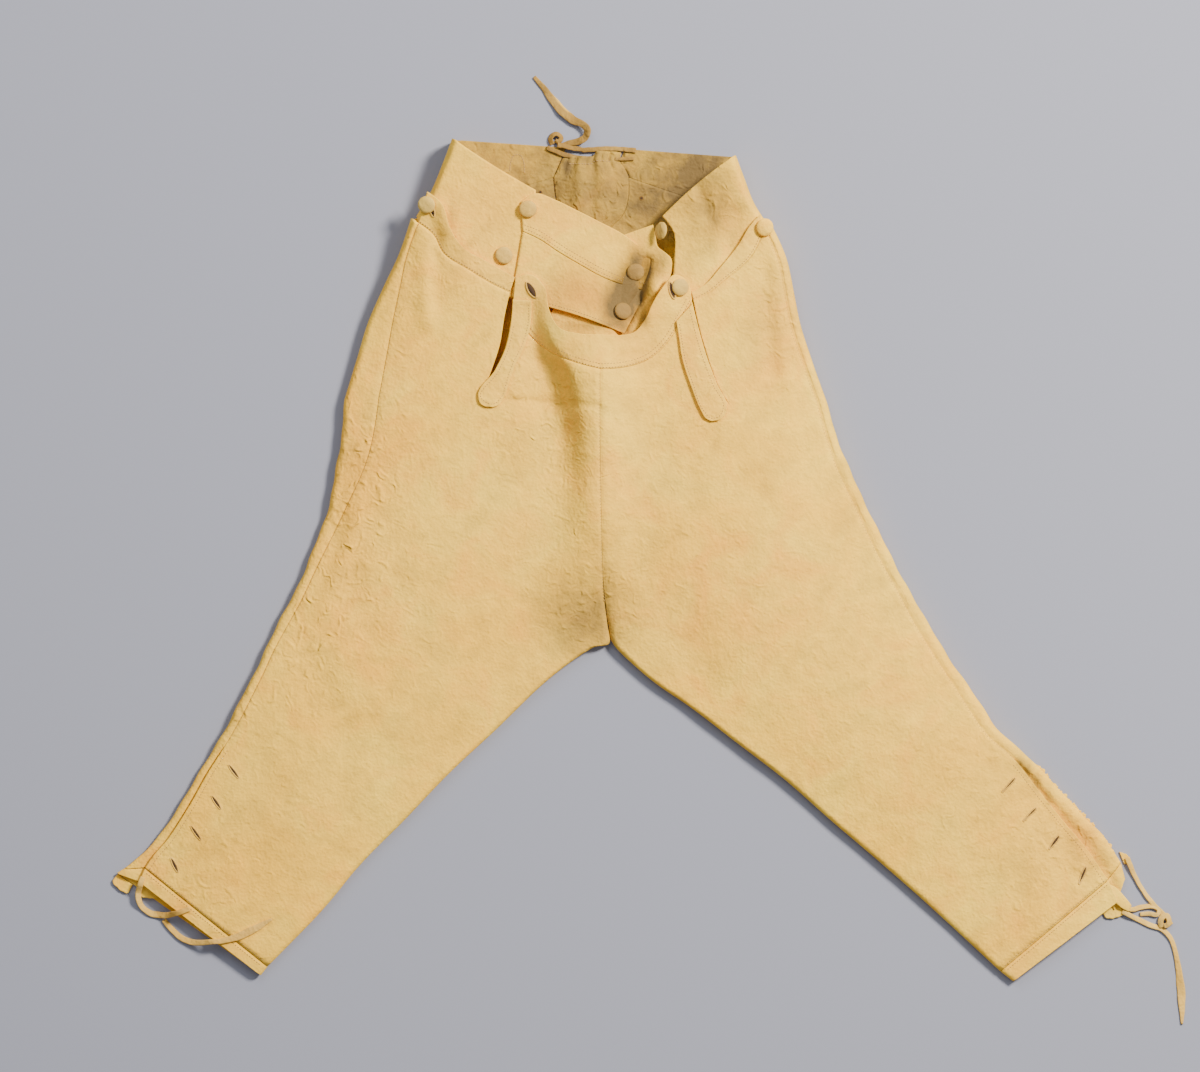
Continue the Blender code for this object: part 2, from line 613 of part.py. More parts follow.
def button(name, u, v, layer, lean=None, lift=0.0):
    """Leather-covered button: a low dome over a short edge."""
    n = slope(u, v) if lean is None else np.array(lean, float)
    n = n / np.linalg.norm(n)
    x = np.cross([0, 1, 0], n)
    x /= np.linalg.norm(x)
    y = np.cross(n, x)
    seat = place([(u, v, float(top([(u, v)])[0]) + layer * LAYER)])[0]
    seat = seat + n * (WALL / 2 + SEAM + 0.2 + lift) / 1000
    rings = [(0.0, 0.80), (1.0, 1.0), (2.4, 0.97), (3.9, 0.72), (4.5, 0.36)]
    k = 20
    ang = np.arange(k) * 2 * np.pi / k
    verts = []
    for h, r in rings:
        verts += [tuple(seat + (x * math.cos(a) + y * math.sin(a)) * BUTTON_R * r / 1000 + n * h / 1000) for a in ang]
    verts.append(tuple(seat + n * BUTTON_H / 1000))
    verts.append(tuple(seat))
    faces = []
    for j in range(len(rings) - 1):
        for i in range(k):
            i2 = (i + 1) % k
            faces.append((j * k + i, j * k + i2, (j + 1) * k + i2, (j + 1) * k + i))
    last = (len(rings) - 1) * k
    faces += [(last + i, last + (i + 1) % k, len(verts) - 2) for i in range(k)]
    faces += [((i + 1) % k, i, len(verts) - 1) for i in range(k)]
    return solid(name, verts, faces)


# u v | layer | lean
BUTTONS = {
    "button_waist_tongue": (528, 210, -1, None, 0),
    "button_waist_left": (504, 256, -2, None, 0),
    "button_bearer_upper": (635, 272, -1, None, 0),
    "button_bearer_lower": (622, 312, -1, None, 0),
    "button_waist_right": (667, 232, -2, None, 0),
    "button_fall_right": (679, 288, 0, None, 0),
    "button_pocket_left": (428, 206, 0, None, 0),
    "button_pocket_right": (764, 228, 0, None, 0),
}
for name, (u, v, layer, lean, lift) in BUTTONS.items():
    button(name, u, v, layer, lean, lift)


def tab(name, corners, z):
    """Small leaf of leather that hangs out of the hem, four corners in order."""
    a, b, c, d = (np.array(p, float) for p in corners)
    t = np.linspace(0, 1, 4)[:, None, None]
    f = np.linspace(0, 1, 4)[None, :, None]
    uv = (a * (1 - f) + b * f) * (1 - t) + (d * (1 - f) + c * f) * t
    height = np.full(uv.shape[:2] + (1,), z)
    return wall(name, [np.concatenate([uv, height], -1)])


tab("knee_tab_left", [(146, 881), (163, 894), (159, 900), (135, 897)], 3.2)
tab("knee_tab_right", [(1097.4, 908.1), (1114.4, 897.1), (1130, 912), (1106, 921)], 1.1)
tab("knee_leaf_left", [(117.0, 874.4), (131.9, 885.4), (126, 896), (110, 883)], 1.1)
tab("knee_leaf_right", [(1120.2, 852.4), (1125.2, 864.4), (1130, 864), (1129, 855)], 1.1)


def tie(name, pts, half=TIE):
    """Leather thong through the points u, v, on the front leather 1 or the mat 0, clear height."""
    p = np.array(pts, float)
    z = p[:, 2] * (top(p) + WALL / 2) + half + 0.4 + p[:, 3]
    p = np.c_[p[:, :2], z]
    length = np.linalg.norm(np.diff(p, axis=0), axis=1).sum()
    n = max(6, min(60, int(length / (2 * half * 1.7))))
    q = place(cubic(p, np.linspace(0, 1, n)))
    curve = bpy.data.curves.new(name, "CURVE")
    curve.dimensions = "3D"
    s = curve.splines.new("POLY")
    s.points.add(len(q) - 1)
    for point, c in zip(s.points, q):
        point.co = (*map(float, c), 1.0)
    curve.bevel_depth = half / 1000
    curve.bevel_resolution = 2
    curve.use_fill_caps = True
    curve.materials.append(leather(name))
    obj = bpy.data.objects.new(name, curve)
    bpy.context.scene.collection.objects.link(obj)
    return obj


tie("knee_tie_left_upper",
    [(143, 877, 1, 0.4), (140.5, 884, 1, 0.6), (138, 893, 0, 4.6), (138, 900, 0, 3.4), (141, 907, 0, 0.3), (147, 912.5, 0, 0),
     (157, 915.5, 0, 0.5), (167, 915.5, 0, 5), (177, 913, 1, 0.2), (190, 908.5, 1, 0.2)])
tie("knee_tie_left_lower",
    [(163, 920.5, 0, 0), (170, 929, 0, 0), (180, 938, 0, 0.3), (190, 942.5, 0, 2), (202, 942.8, 0, 7),
     (212, 941.8, 1, 0.2), (224, 940.5, 1, 0.2), (238, 936.5, 1, 0.2), (256, 928, 1, 0.2), (272, 919, 1, 0.2)])
tie("knee_tie_right_upper",
    [(1128, 858, 0, 2.2), (1131, 866, 0, 2.0), (1134, 873, 0, 0.4), (1138, 881, 0, 0), (1148, 897, 0, 0), (1158, 909, 0, 0),
     (1167, 918, 0, 0), (1172, 925.5, 0, 1)])
tie("knee_tie_right_loop",
    [(1128.5, 908.5, 0, 2.1), (1134, 910.4, 0, 1.4), (1143, 909.6, 0, 0), (1152, 909.4, 0, 0)])
tie("knee_tie_right_lower",
    [(1123, 912, 0, 2.2), (1130, 915.5, 0, 2.1), (1137, 919.3, 0, 0.3), (1144, 922.5, 0, 0), (1153, 926.5, 0, 0), (1162, 929.5, 0, 0), (1170, 936.5, 0, 0),
     (1176, 951, 0, 0), (1179.5, 970, 0, 0), (1182, 990, 0, 0), (1183, 1008, 0, 0), (1183, 1025, 0, 0)])
tie("back_lace_end",
    [(559, 146.6, 0, 1.8), (567, 143.6, 0, 1.8), (577, 141.8, 0, 3), (586, 137, 0, 4), (588, 129, 0, 4), (582, 121.5, 0, 3),
     (573, 117, 0, 1.5), (562, 107, 0, 0), (550, 94, 0, 0), (541, 83, 0, 0), (534, 76, 0, 0)], 2.4)
tie("back_lace_bow",
    [(549, 143.6, 0, 1.2), (548.6, 137, 0, 1.6), (553, 131.6, 0, 1.8), (560, 132.4, 0, 1.8), (562.6, 137.6, 0, 1.4),
     (557.4, 141.0, 0, 1.2)], 1.9)
tie("back_lace",
    [(547, 147, 0, 2.2), (556, 151, 0, 2.4), (570, 155.5, 0, 2), (586, 157.5, 0, 2), (604, 158.5, 0, 2),
     (620, 158.5, 0, 2), (634, 158, 0, 2.2)], 1.7)
tie("back_lace_upper",
    [(582, 149.5, 0, 2), (592, 149, 0, 2), (606, 148, 0, 2), (620, 148.4, 0, 2), (636, 150, 0, 2.2)], 1.7)
print("objects", len(bpy.data.objects))
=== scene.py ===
"""Buckskin breeches, laid flat on their back with the front side up.

Every piece is a thin wall of leather on a grid that numpy works out.  The
plan sizes u (to the right) and v (down) are millimetres on the mat that the
breeches lie on; place() turns them into the frame, in metres with +Z up.

  z of the front leather at (u, v) = thin-plate surface through the height
  table + sum of folds + small creases and ripples
"""
# %% [markdown]
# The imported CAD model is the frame.  Its solids stay where they are, and each
# piece made here stands for one or more of them, a little finer.

import bmesh
import bpy
import numpy as np
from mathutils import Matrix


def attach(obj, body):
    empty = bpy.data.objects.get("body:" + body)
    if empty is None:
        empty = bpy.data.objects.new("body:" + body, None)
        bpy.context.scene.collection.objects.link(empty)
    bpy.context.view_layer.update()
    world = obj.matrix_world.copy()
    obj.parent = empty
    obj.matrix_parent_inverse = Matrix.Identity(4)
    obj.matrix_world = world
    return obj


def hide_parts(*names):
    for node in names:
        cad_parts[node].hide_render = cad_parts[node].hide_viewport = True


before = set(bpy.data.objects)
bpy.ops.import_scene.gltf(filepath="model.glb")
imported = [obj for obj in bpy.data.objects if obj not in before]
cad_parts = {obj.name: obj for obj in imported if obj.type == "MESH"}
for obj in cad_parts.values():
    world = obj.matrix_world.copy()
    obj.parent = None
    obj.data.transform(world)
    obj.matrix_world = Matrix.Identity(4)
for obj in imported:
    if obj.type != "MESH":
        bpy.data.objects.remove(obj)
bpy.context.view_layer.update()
print("CAD nodes", len(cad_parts))

# %% [markdown]
# Sizes of the leather.  Buckskin for breeches is 1.5 to 2 mm thick, and the
# pieces of one garment keep a hair of air between them at the seams, so that
# each stays a solid of its own.

# %% Sizes in mm, and the way from the mat to the frame
WALL = 1.8            # leather
SEAM = 0.3            # between neighbouring pieces
LAYER = WALL + 0.5    # from one layer of leather to the next
FLAT = WALL / 2       # middle of the leather that lies on the mat
ROLL = 6.0            # width of the turn at the inner edge of a leg
BUTTON_R = 8.8        # covered button
MID_U, MID_V = 618.0, 558.0   # the frame's origin on the mat


def place(p):
    """Metres in the frame: X = u - MID_U, Y = MID_V - v and Z = height, all / 1000."""
    p = np.asarray(p, float).reshape(-1, 3)
    return np.c_[p[:, 0] - MID_U, MID_V - p[:, 1], p[:, 2]] / 1000


print("one mat pixel is 1 mm")

# %% [markdown]
# The camera looks straight down, as the picture was taken, with a long lens,
# so that high and low leather keep the same scale.

# %% Camera
FOCAL, SENSOR = 180.0, 36.0   # mm
SPAN = 1.2                    # metres of the mat across the picture
SHARP = 0.012                 # height at which SPAN is measured
lens = bpy.data.cameras.new("overhead")
lens.lens, lens.sensor_width, lens.clip_end = FOCAL, SENSOR, 60.0
camera = bpy.data.objects.new("overhead", lens)
camera.location = (-0.018, 0.022, SHARP + SPAN * FOCAL / SENSOR)
bpy.context.scene.collection.objects.link(camera)
bpy.context.scene.camera = camera
print("camera height", round(camera.location.z, 3), "m")

# %% [markdown]
# The pattern of the breeches.  Each leg is a row of sections across it, and
# each section knows its outer edge, its side seam and its inner edge, and how
# high the front leather lies there.  A maker would call it the lay of the cut.

# %% Sections of the legs, the seat, and the heights over the hips
# outer edge u v | side seam or vent edge u v | inner edge u v |
# height outside, middle, inside | share of the crotch turn
LEG_LEFT = [
    (345, 400, 379, 397, 600.0, 410, 14, 27, 25, 0.0),
    (339, 457, 368, 457, 600.5, 465, 13, 26, 24, 0.0),
    (328, 510, 345, 510, 601.5, 520, 12, 25, 21, 0.0),
    (306, 569, 316, 569, 603.0, 575, 12, 23, 17, 0.0),
    (290, 602, 301, 601, 605.0, 603, 12, 22, 15, 0.20),
    (276, 630, 287, 626, 608.0, 625, 12, 22, 13, 0.60),
    (263, 655, 274, 650, 609.9, 643, 12, 21, 12, 1.0),
    (252, 680, 263, 674, 592.0, 648, 12, 21, 11, 1.0),
    (243, 697, 254, 692, 568.0, 664, 12, 20, 11, 1.0),
    (232, 718, 243, 714, 540.0, 687, 12, 20, 11, 1.0),
    (218, 742, 228, 741, 500.0, 726, 12, 19, 11, 1.0),
    (202, 770, 209, 771, 455.0, 768, 11, 18, 11, 1.0),
    (178, 808, 188, 808, 404.0, 821, 11, 17, 10, 1.0),
    (156, 841, 167, 840, 357.0, 869, 10, 15, 10, 1.0),
    (137, 860, 153, 856, 314.0, 920, 9, 13, 9, 1.0),
    (125, 869, 145, 868, 268.0, 967, 9, 12, 9, 1.0),
]
LEG_RIGHT = [
    (826, 402, 817, 402, 600.0, 410, 14, 27, 25, 0.0),
    (845, 461, 835, 463, 600.5, 465, 13, 26, 24, 0.0),
    (869, 512, 859, 515, 601.5, 520, 12, 25, 21, 0.0),
    (893, 562, 883, 565, 603.0, 575, 12, 23, 17, 0.0),
    (909, 590, 899, 594, 605.0, 603, 12, 22, 15, 0.20),
    (923, 617, 913, 621, 608.0, 625, 12, 22, 13, 0.60),
    (938, 641, 928, 646, 612.1, 643, 12, 21, 12, 1.0),
    (952, 663, 942, 668, 628.0, 660, 12, 21, 11, 1.0),
    (966, 684, 956, 689, 655.0, 683, 12, 20, 11, 1.0),
    (980, 705, 970, 711, 690.0, 707, 12, 20, 11, 1.0),
    (998, 730, 988, 736, 733.0, 740, 12, 19, 11, 1.0),
    (1022, 752, 1013, 758, 780.0, 776, 11, 18, 11, 1.0),
    (1053, 784, 1041.5, 794, 830.0, 820, 11, 17, 10, 1.0),
    (1082, 814, 1066.5, 824.5, 878.0, 861, 10, 15, 10, 1.0),
    (1105, 840, 1087.5, 849.5, 930.0, 907, 9, 13, 9, 1.0),
    (1121, 864, 1108, 880, 1000.0, 972, 9, 12, 9, 1.0),
]
# hem edge: back outer u v | vent corner u v | inner corner u v
HEM_LEFT = (117, 874, 139, 882, 261, 976)
HEM_RIGHT = (1125, 880, 1118, 902, 1013, 982)
# outer edge u v | side seam u v | gusset or back seam u v | height outside
SEAT_LEFT = [
    (412, 219, 419, 224, 553, 177, 31),
    (400, 254, 407, 257, 560, 216, 26),
    (384, 288, 400, 289, 582, 258, 21),
    (369, 322, 393, 322, 599, 292, 17),
    (357, 361, 386, 360, 600, 350, 15),
    (345, 400, 379, 397, 600, 410, 14),
]
SEAT_RIGHT = [
    (771, 226, 764, 230, 629, 177, 27),
    (786, 260, 778, 262, 625, 211, 21),
    (793, 292, 784, 294, 604, 240, 18),
    (799, 322, 790, 324, 601, 292, 16),
    (811, 360, 802, 361, 600, 350, 15),
    (826, 402, 817, 402, 600, 410, 14),
]
# u v height over the hips
HIPS = [
    (453, 139, 42), (432, 193, 38), (475, 188, 38), (446, 250, 34),
    (540, 193, 32), (508, 240, 31), (480, 300, 29), (428, 330, 25),
    (560, 250, 28), (600, 225, 26), (600, 290, 25), (651, 255, 25),
    (660, 218, 26), (600, 370, 27), (545, 330, 25), (700, 182, 30),
    (735, 157, 35), (752, 205, 32), (700, 240, 29), (740, 275, 28),
    (680, 290, 27), (720, 340, 27), (765, 345, 24), (650, 335, 26),
]
# main creases: from u v | to u v | half width | height (trough below zero)
FOLDS = [
    (604, 330, 594, 560, 30, 9.0),     # ridge down the front seam under the mouth
    (530, 318, 572, 470, 24, -6.0),    # trough beside it
    (592, 548, 600, 640, 20, -2.5),    # towards the crotch
    (505, 400, 598, 407, 5, -2.2),     # across the fall
    (424, 232, 428, 322, 9, 3.8),      # hip roll, left
    (437, 236, 436, 300, 7, -3.4),
    (776, 262, 786, 380, 9, 2.6),      # hip roll, right
    (764, 270, 772, 372, 8, -2.4),
    (698, 188, 708, 216, 6, -2.4),     # waist, right
    (736, 214, 728, 248, 8, -3.0),
    (334, 520, 372, 640, 14, -2.6),    # thigh, left
    (362, 500, 330, 610, 11, 2.4),
    (300, 640, 344, 742, 16, -1.4),
    (860, 560, 800, 660, 20, -2.4),    # thigh, right
    (905, 660, 840, 742, 20, 1.4),
    (640, 560, 700, 680, 22, -2.6),
    (560, 600, 470, 700, 22, 2.4),
    (1060, 822, 1074, 876, 7, -1.4),   # beside the knee holes
    (572, 338, 574, 362, 2.4, -0.6),   # wrinkles of the mouth band
    (580, 339, 581, 364, 2.0, -0.6),
    (588, 340, 588, 362, 2.0, -0.5),
    (610, 341, 611, 362, 2.2, -0.5),
    (622, 339, 620, 360, 2.4, -0.6),
]
print("sections", len(LEG_LEFT) + len(LEG_RIGHT) + len(SEAT_LEFT) + len(SEAT_RIGHT))

# %% [markdown]
# A smooth curve through rows of numbers is used everywhere: for seams, edges
# and the run of the sections.  A cubic with its slopes taken from the
# neighbouring rows bends like a thin strip of leather and doesn't swing out.

# %% Smooth curves


def cubic(rows, t):
    """Hermite cubic through the rows, at the shares t of its chord length."""
    p, t = np.asarray(rows, float), np.asarray(t, float)
    step = np.maximum(np.linalg.norm(np.diff(p[:, :2], axis=0), axis=1), 1e-6)
    s = np.concatenate([[0], np.cumsum(step)])
    s = s / s[-1]
    if len(p) == 2:
        return p[0] + (p[1] - p[0]) * t[:, None]
    h = np.diff(s)
    d = np.diff(p, axis=0) / h[:, None]
    m = np.empty_like(p)
    m[1:-1] = (d[:-1] * h[1:, None] + d[1:] * h[:-1, None]) / (h[:-1] + h[1:])[:, None]
    m[0], m[-1] = 1.5 * d[0] - 0.5 * m[1], 1.5 * d[-1] - 0.5 * m[-2]
    k = np.clip(np.searchsorted(s, t, side="right") - 1, 0, len(h) - 1)
    x, hk = ((t - s[k]) / h[k])[:, None], h[k][:, None]
    return (p[k] * (1 + 2 * x) * (1 - x) ** 2 + p[k + 1] * x**2 * (3 - 2 * x)
            + m[k] * hk * x * (1 - x) ** 2 + m[k + 1] * hk * x**2 * (x - 1))


def between(rows, at):
    """Rows at fractional row numbers, on the smooth curve through them."""
    p = np.asarray(rows, float)
    s = np.r_[0, np.cumsum(np.linalg.norm(np.diff(p[:, :2], axis=0), axis=1))]
    return cubic(p, np.interp(at, np.arange(len(p)), s / s[-1]))


def dense(n, ends=0.1):
    """n + 1 shares from 0 to 1, closer together at both ends."""
    t = np.linspace(0, 1, n + 1)
    return t - ends * np.sin(2 * np.pi * t)


print("middle of the left leg", np.round(between(LEG_LEFT, [7.5])[0, :2]))

# %% [markdown]
# The lay of the leather.  Worn leather doesn't lie in planes: it bulges over
# the air inside, dips at the front seam and keeps the creases of its wearer.
# A thin-plate surface, the shape of a bent sheet through given heights, gives
# the bulge, and folds are added to it as soft ridges and troughs.

# %% Height of the front leather


def bend(d2):
    """Thin-plate kernel, half the squared distance times its logarithm."""
    return 0.5 * d2 * np.log(np.maximum(d2, 1e-9))


def height_points():
    """Height points of the whole front: u, v, z, none closer than 4 mm."""
    out = list(HIPS)
    for table in (LEG_LEFT, LEG_RIGHT):
        for ou, ov, _, _, iu, iv, zo, zm, zi, _ in table:
            out += [(ou, ov, zo), ((ou + iu) / 2, (ov + iv) / 2, zm), (iu, iv, zi)]
            out += [(ou * 0.8 + iu * 0.2, ov * 0.8 + iv * 0.2, zo * 0.3 + zm * 0.7)]
    for table in (SEAT_LEFT, SEAT_RIGHT):
        out += [(r[0], r[1], r[6]) for r in table[:-1]]
    for hem in (HEM_LEFT, HEM_RIGHT):
        out += [(hem[2], hem[3], 8.5), (hem[4], hem[5], 8.5)]
    pts, keep = np.array(out, float), [0]
    for i in range(1, len(pts)):
        if np.min(np.linalg.norm(pts[keep][:, :2] - pts[i, :2], axis=1)) > 4:
            keep.append(i)
    return pts[keep]


POINTS = height_points()
ones = np.c_[np.ones(len(POINTS)), POINTS[:, :2] / 1000]
plate = np.zeros((len(POINTS) + 3, len(POINTS) + 3))
spread = ((POINTS[:, None, :2] - POINTS[None, :, :2]) ** 2).sum(-1)
plate[:-3, :-3] = bend(spread) / 1e4 + np.eye(len(POINTS)) * 0.3
plate[:-3, -3:], plate[-3:, :-3] = ones, ones.T
WEIGHTS = np.linalg.solve(plate, np.r_[POINTS[:, 2], 0, 0, 0])


def ridges(uv, table):
    """Sum of soft ridges: height * exp(-(distance / half width) squared)."""
    z = np.zeros(len(uv))
    for u0, v0, u1, v1, half, high in table:
        a, ab = np.array([u0, v0], float), np.array([u1 - u0, v1 - v0], float)
        s = (uv - a) @ ab / (ab @ ab)
        off = np.linalg.norm(uv - (a + np.clip(s, 0, 1)[:, None] * ab), axis=1) / half
        z += high * np.exp(-off**2) * (0.75 + 0.25 * np.cos(3.1 * s + half))
    return z


# small creases by zone: centre u v | spread u v | direction in degrees |
# how many | length | half width | depth
ZONES = [
    (352, 560, 34, 80, 62, 22, 34, 5.0, 0.34),
    (300, 670, 26, 50, 50, 14, 26, 5.0, 0.28),
    (450, 420, 60, 60, 80, 12, 34, 6.0, 0.20),
    (560, 460, 40, 60, 20, 14, 30, 5.5, 0.24),
    (440, 255, 30, 30, 75, 12, 30, 5.0, 0.26),
    (545, 375, 30, 30, 60, 8, 26, 5.0, 0.24),
    (780, 320, 22, 60, 80, 12, 40, 6.0, 0.26),
    (720, 470, 80, 80, 70, 14, 44, 7.0, 0.20),
    (860, 640, 70, 70, 40, 16, 40, 7.0, 0.22),
    (1060, 850, 30, 30, 60, 10, 24, 5.0, 0.26),
    (220, 860, 40, 30, 40, 12, 26, 5.0, 0.24),
    (400, 760, 90, 60, 40, 16, 40, 7.0, 0.20),
    (600, 590, 40, 40, 85, 10, 34, 6.0, 0.24),
    (560, 230, 40, 24, 35, 8, 26, 5.0, 0.24),
    (715, 225, 30, 40, 70, 8, 28, 5.0, 0.26),
]


def crease_table():
    """Short shallow troughs, scattered in each zone about its direction."""
    rng = np.random.default_rng(7)
    out = []
    for u, v, su, sv, way, n, long, half, deep in ZONES:
        c = rng.normal(0, 0.55, (n, 2)) * (su, sv) + (u, v)
        a = np.radians(way + rng.normal(0, 22, n))
        d = np.c_[np.cos(a), -np.sin(a)] * (long * rng.uniform(0.35, 0.7, n))[:, None]
        depth = deep * rng.uniform(0.4, 1.5, n) * np.where(rng.random(n) < 0.3, 0.7, -1)
        out += np.c_[c - d, c + d, half * rng.uniform(0.7, 1.3, n), depth].tolist()
    return out


CREASES = crease_table()


def ripples(uv):
    """Low swells of a hide, 50 to 150 mm long and about a third of a mm high."""
    u, v = uv[:, 0], uv[:, 1]
    w = 9 * np.sin(u / 61 + 1.3) + 8 * np.sin(v / 47)
    return (0.34 * np.sin((u + w) / 23 + v / 58) * np.sin((v - w) / 31 + 0.8)
            + 0.22 * np.sin(u / 13.0 - v / 17.0 + w / 6) + 0.16 * np.sin(v / 9.5 + u / 21.0 - w / 7))


def height(uv):
    """Height of the front leather's middle over the mat, at least 6 mm."""
    uv = np.atleast_2d(np.asarray(uv, float))[:, :2]
    out = []
    for part in np.array_split(uv, max(1, len(uv) // 8000)):
        d2 = ((part[:, None, :] - POINTS[None, :, :2]) ** 2).sum(-1)
        z = (bend(d2) / 1e4) @ WEIGHTS[:-3] + WEIGHTS[-3] + part / 1000 @ WEIGHTS[-2:]
        out.append(np.maximum(z + ridges(part, FOLDS), 6.0) + ridges(part, CREASES) + ripples(part))
    return np.concatenate(out)


# crests where the fall stands off what lies under it, by v: u of the crest |
# how high | reach to its left | reach to its right
CRESTS = [
    # under the mouth, beside the front seam
    [(285, 546, 0, 14, 40), (303, 548, 7, 13, 46), (322, 550, 13, 13, 60), (340, 556, 17, 14, 64),
     (372, 575, 17, 15, 50), (420, 585, 13, 16, 42), (480, 590, 7, 18, 40), (540, 594, 2.5, 22, 40),
     (600, 598, 0, 24, 40)],
    # right side of the mouth, up to the corner button
    [(236, 672, 0, 22, 20), (262, 670, 7, 24, 18), (290, 661, 10, 26, 20), (312, 650, 9, 26, 26),
     (330, 640, 4, 26, 30), (352, 632, 0, 26, 30)],
    # pocket edge on the left, beside its button
    [(186, 441, 0, 10, 12), (205, 443, 5, 11, 12), (228, 449, 5.5, 12, 12), (246, 455, 2, 14, 12),
     (262, 463, 0, 14, 12)],
]


def stand(uv):
    """Crests: height by v, times a bell that is narrow to the left, wide to the right."""
    out = np.zeros(len(uv))
    for rows in CRESTS:
        r = np.array(rows, float)
        v = cubic(np.c_[r[:, 0], np.zeros(len(r)), r], np.linspace(0, 1, 80))
        crest, high, left, right = (np.interp(uv[:, 1], v[:, 2], v[:, k], 0, 0)
                                    for k in (3, 4, 5, 6))
        s = uv[:, 0] - crest
        out += np.maximum(high, 0) * np.exp(-(s / np.maximum(np.where(s < 0, left, right), 1)) ** 2)
    return out


# the tongue of the left bearer hangs down towards its right edge
TONGUE = [(650, 252, 640, 300, 24, -8.0), (640, 300, 622, 334, 20, -6.0)]
# beside it the right bearer stands up as a fold, with a hollow along the tongue
UNDER = [(647, 262, 638, 300, 5, -9.0), (638, 300, 620, 334, 5, -9.0),
         (667, 264, 656, 290, 9, 6.0), (656, 290, 636, 330, 8, 6.0)]


def raised(uv, layer=0.0):
    """Plan points with the height of the front leather, `layer` layers up."""
    uv = np.asarray(uv, float)
    flat = uv.reshape(-1, uv.shape[-1])[:, :2]
    z = height(flat) + layer * LAYER + (stand(flat) if layer >= 0 else 0.0)
    if layer in (-1, -3):
        z += ridges(flat, TONGUE if layer == -1 else UNDER)
    return np.c_[flat, z].reshape(uv.shape[:-1] + (3,))


print("height points", len(POINTS), "folds", len(FOLDS), "creases", len(CREASES))

# %% [markdown]
# Buckskin is a deer hide tanned with oil or brains and buffed on both sides,
# so it has a short nap and no gloss.  Its colour clouds from cream to orange
# where it was smoked or handled.  Four noises at real sizes give clouds of 90
# mm, patches of 50 mm, flecks of 14 mm and a nap of 1 mm, and the attribute
# "tone" on each piece says where hands soiled or warmed it, where it is
# wrinkled, and where shade is painted on it in gaps, hollows and cast shadows.

# %% Nodes and colours


def colour(hex_code):
    """sRGB hex value to linear RGBA."""
    s = np.array([int(hex_code[i:i + 2], 16) for i in (1, 3, 5)]) / 255
    return (*np.where(s <= 0.04045, s / 12.92, ((s + 0.055) / 1.055) ** 2.4), 1.0)


def add(tree, kind, settings=None, **links):
    """New node; settings are its properties, links its inputs or their values."""
    node = tree.nodes.new(kind)
    for key, value in (settings or {}).items():
        setattr(node, key, value)
    for key, value in links.items():
        name = key.replace("_", " ")
        numbered = key[0] == "i" and key[1:].isdigit()
        socket = node.inputs[int(key[1:])] if numbered else node.inputs[name]
        if isinstance(value, bpy.types.NodeSocket):
            tree.links.new(value, socket)
        else:
            socket.default_value = value
    return node


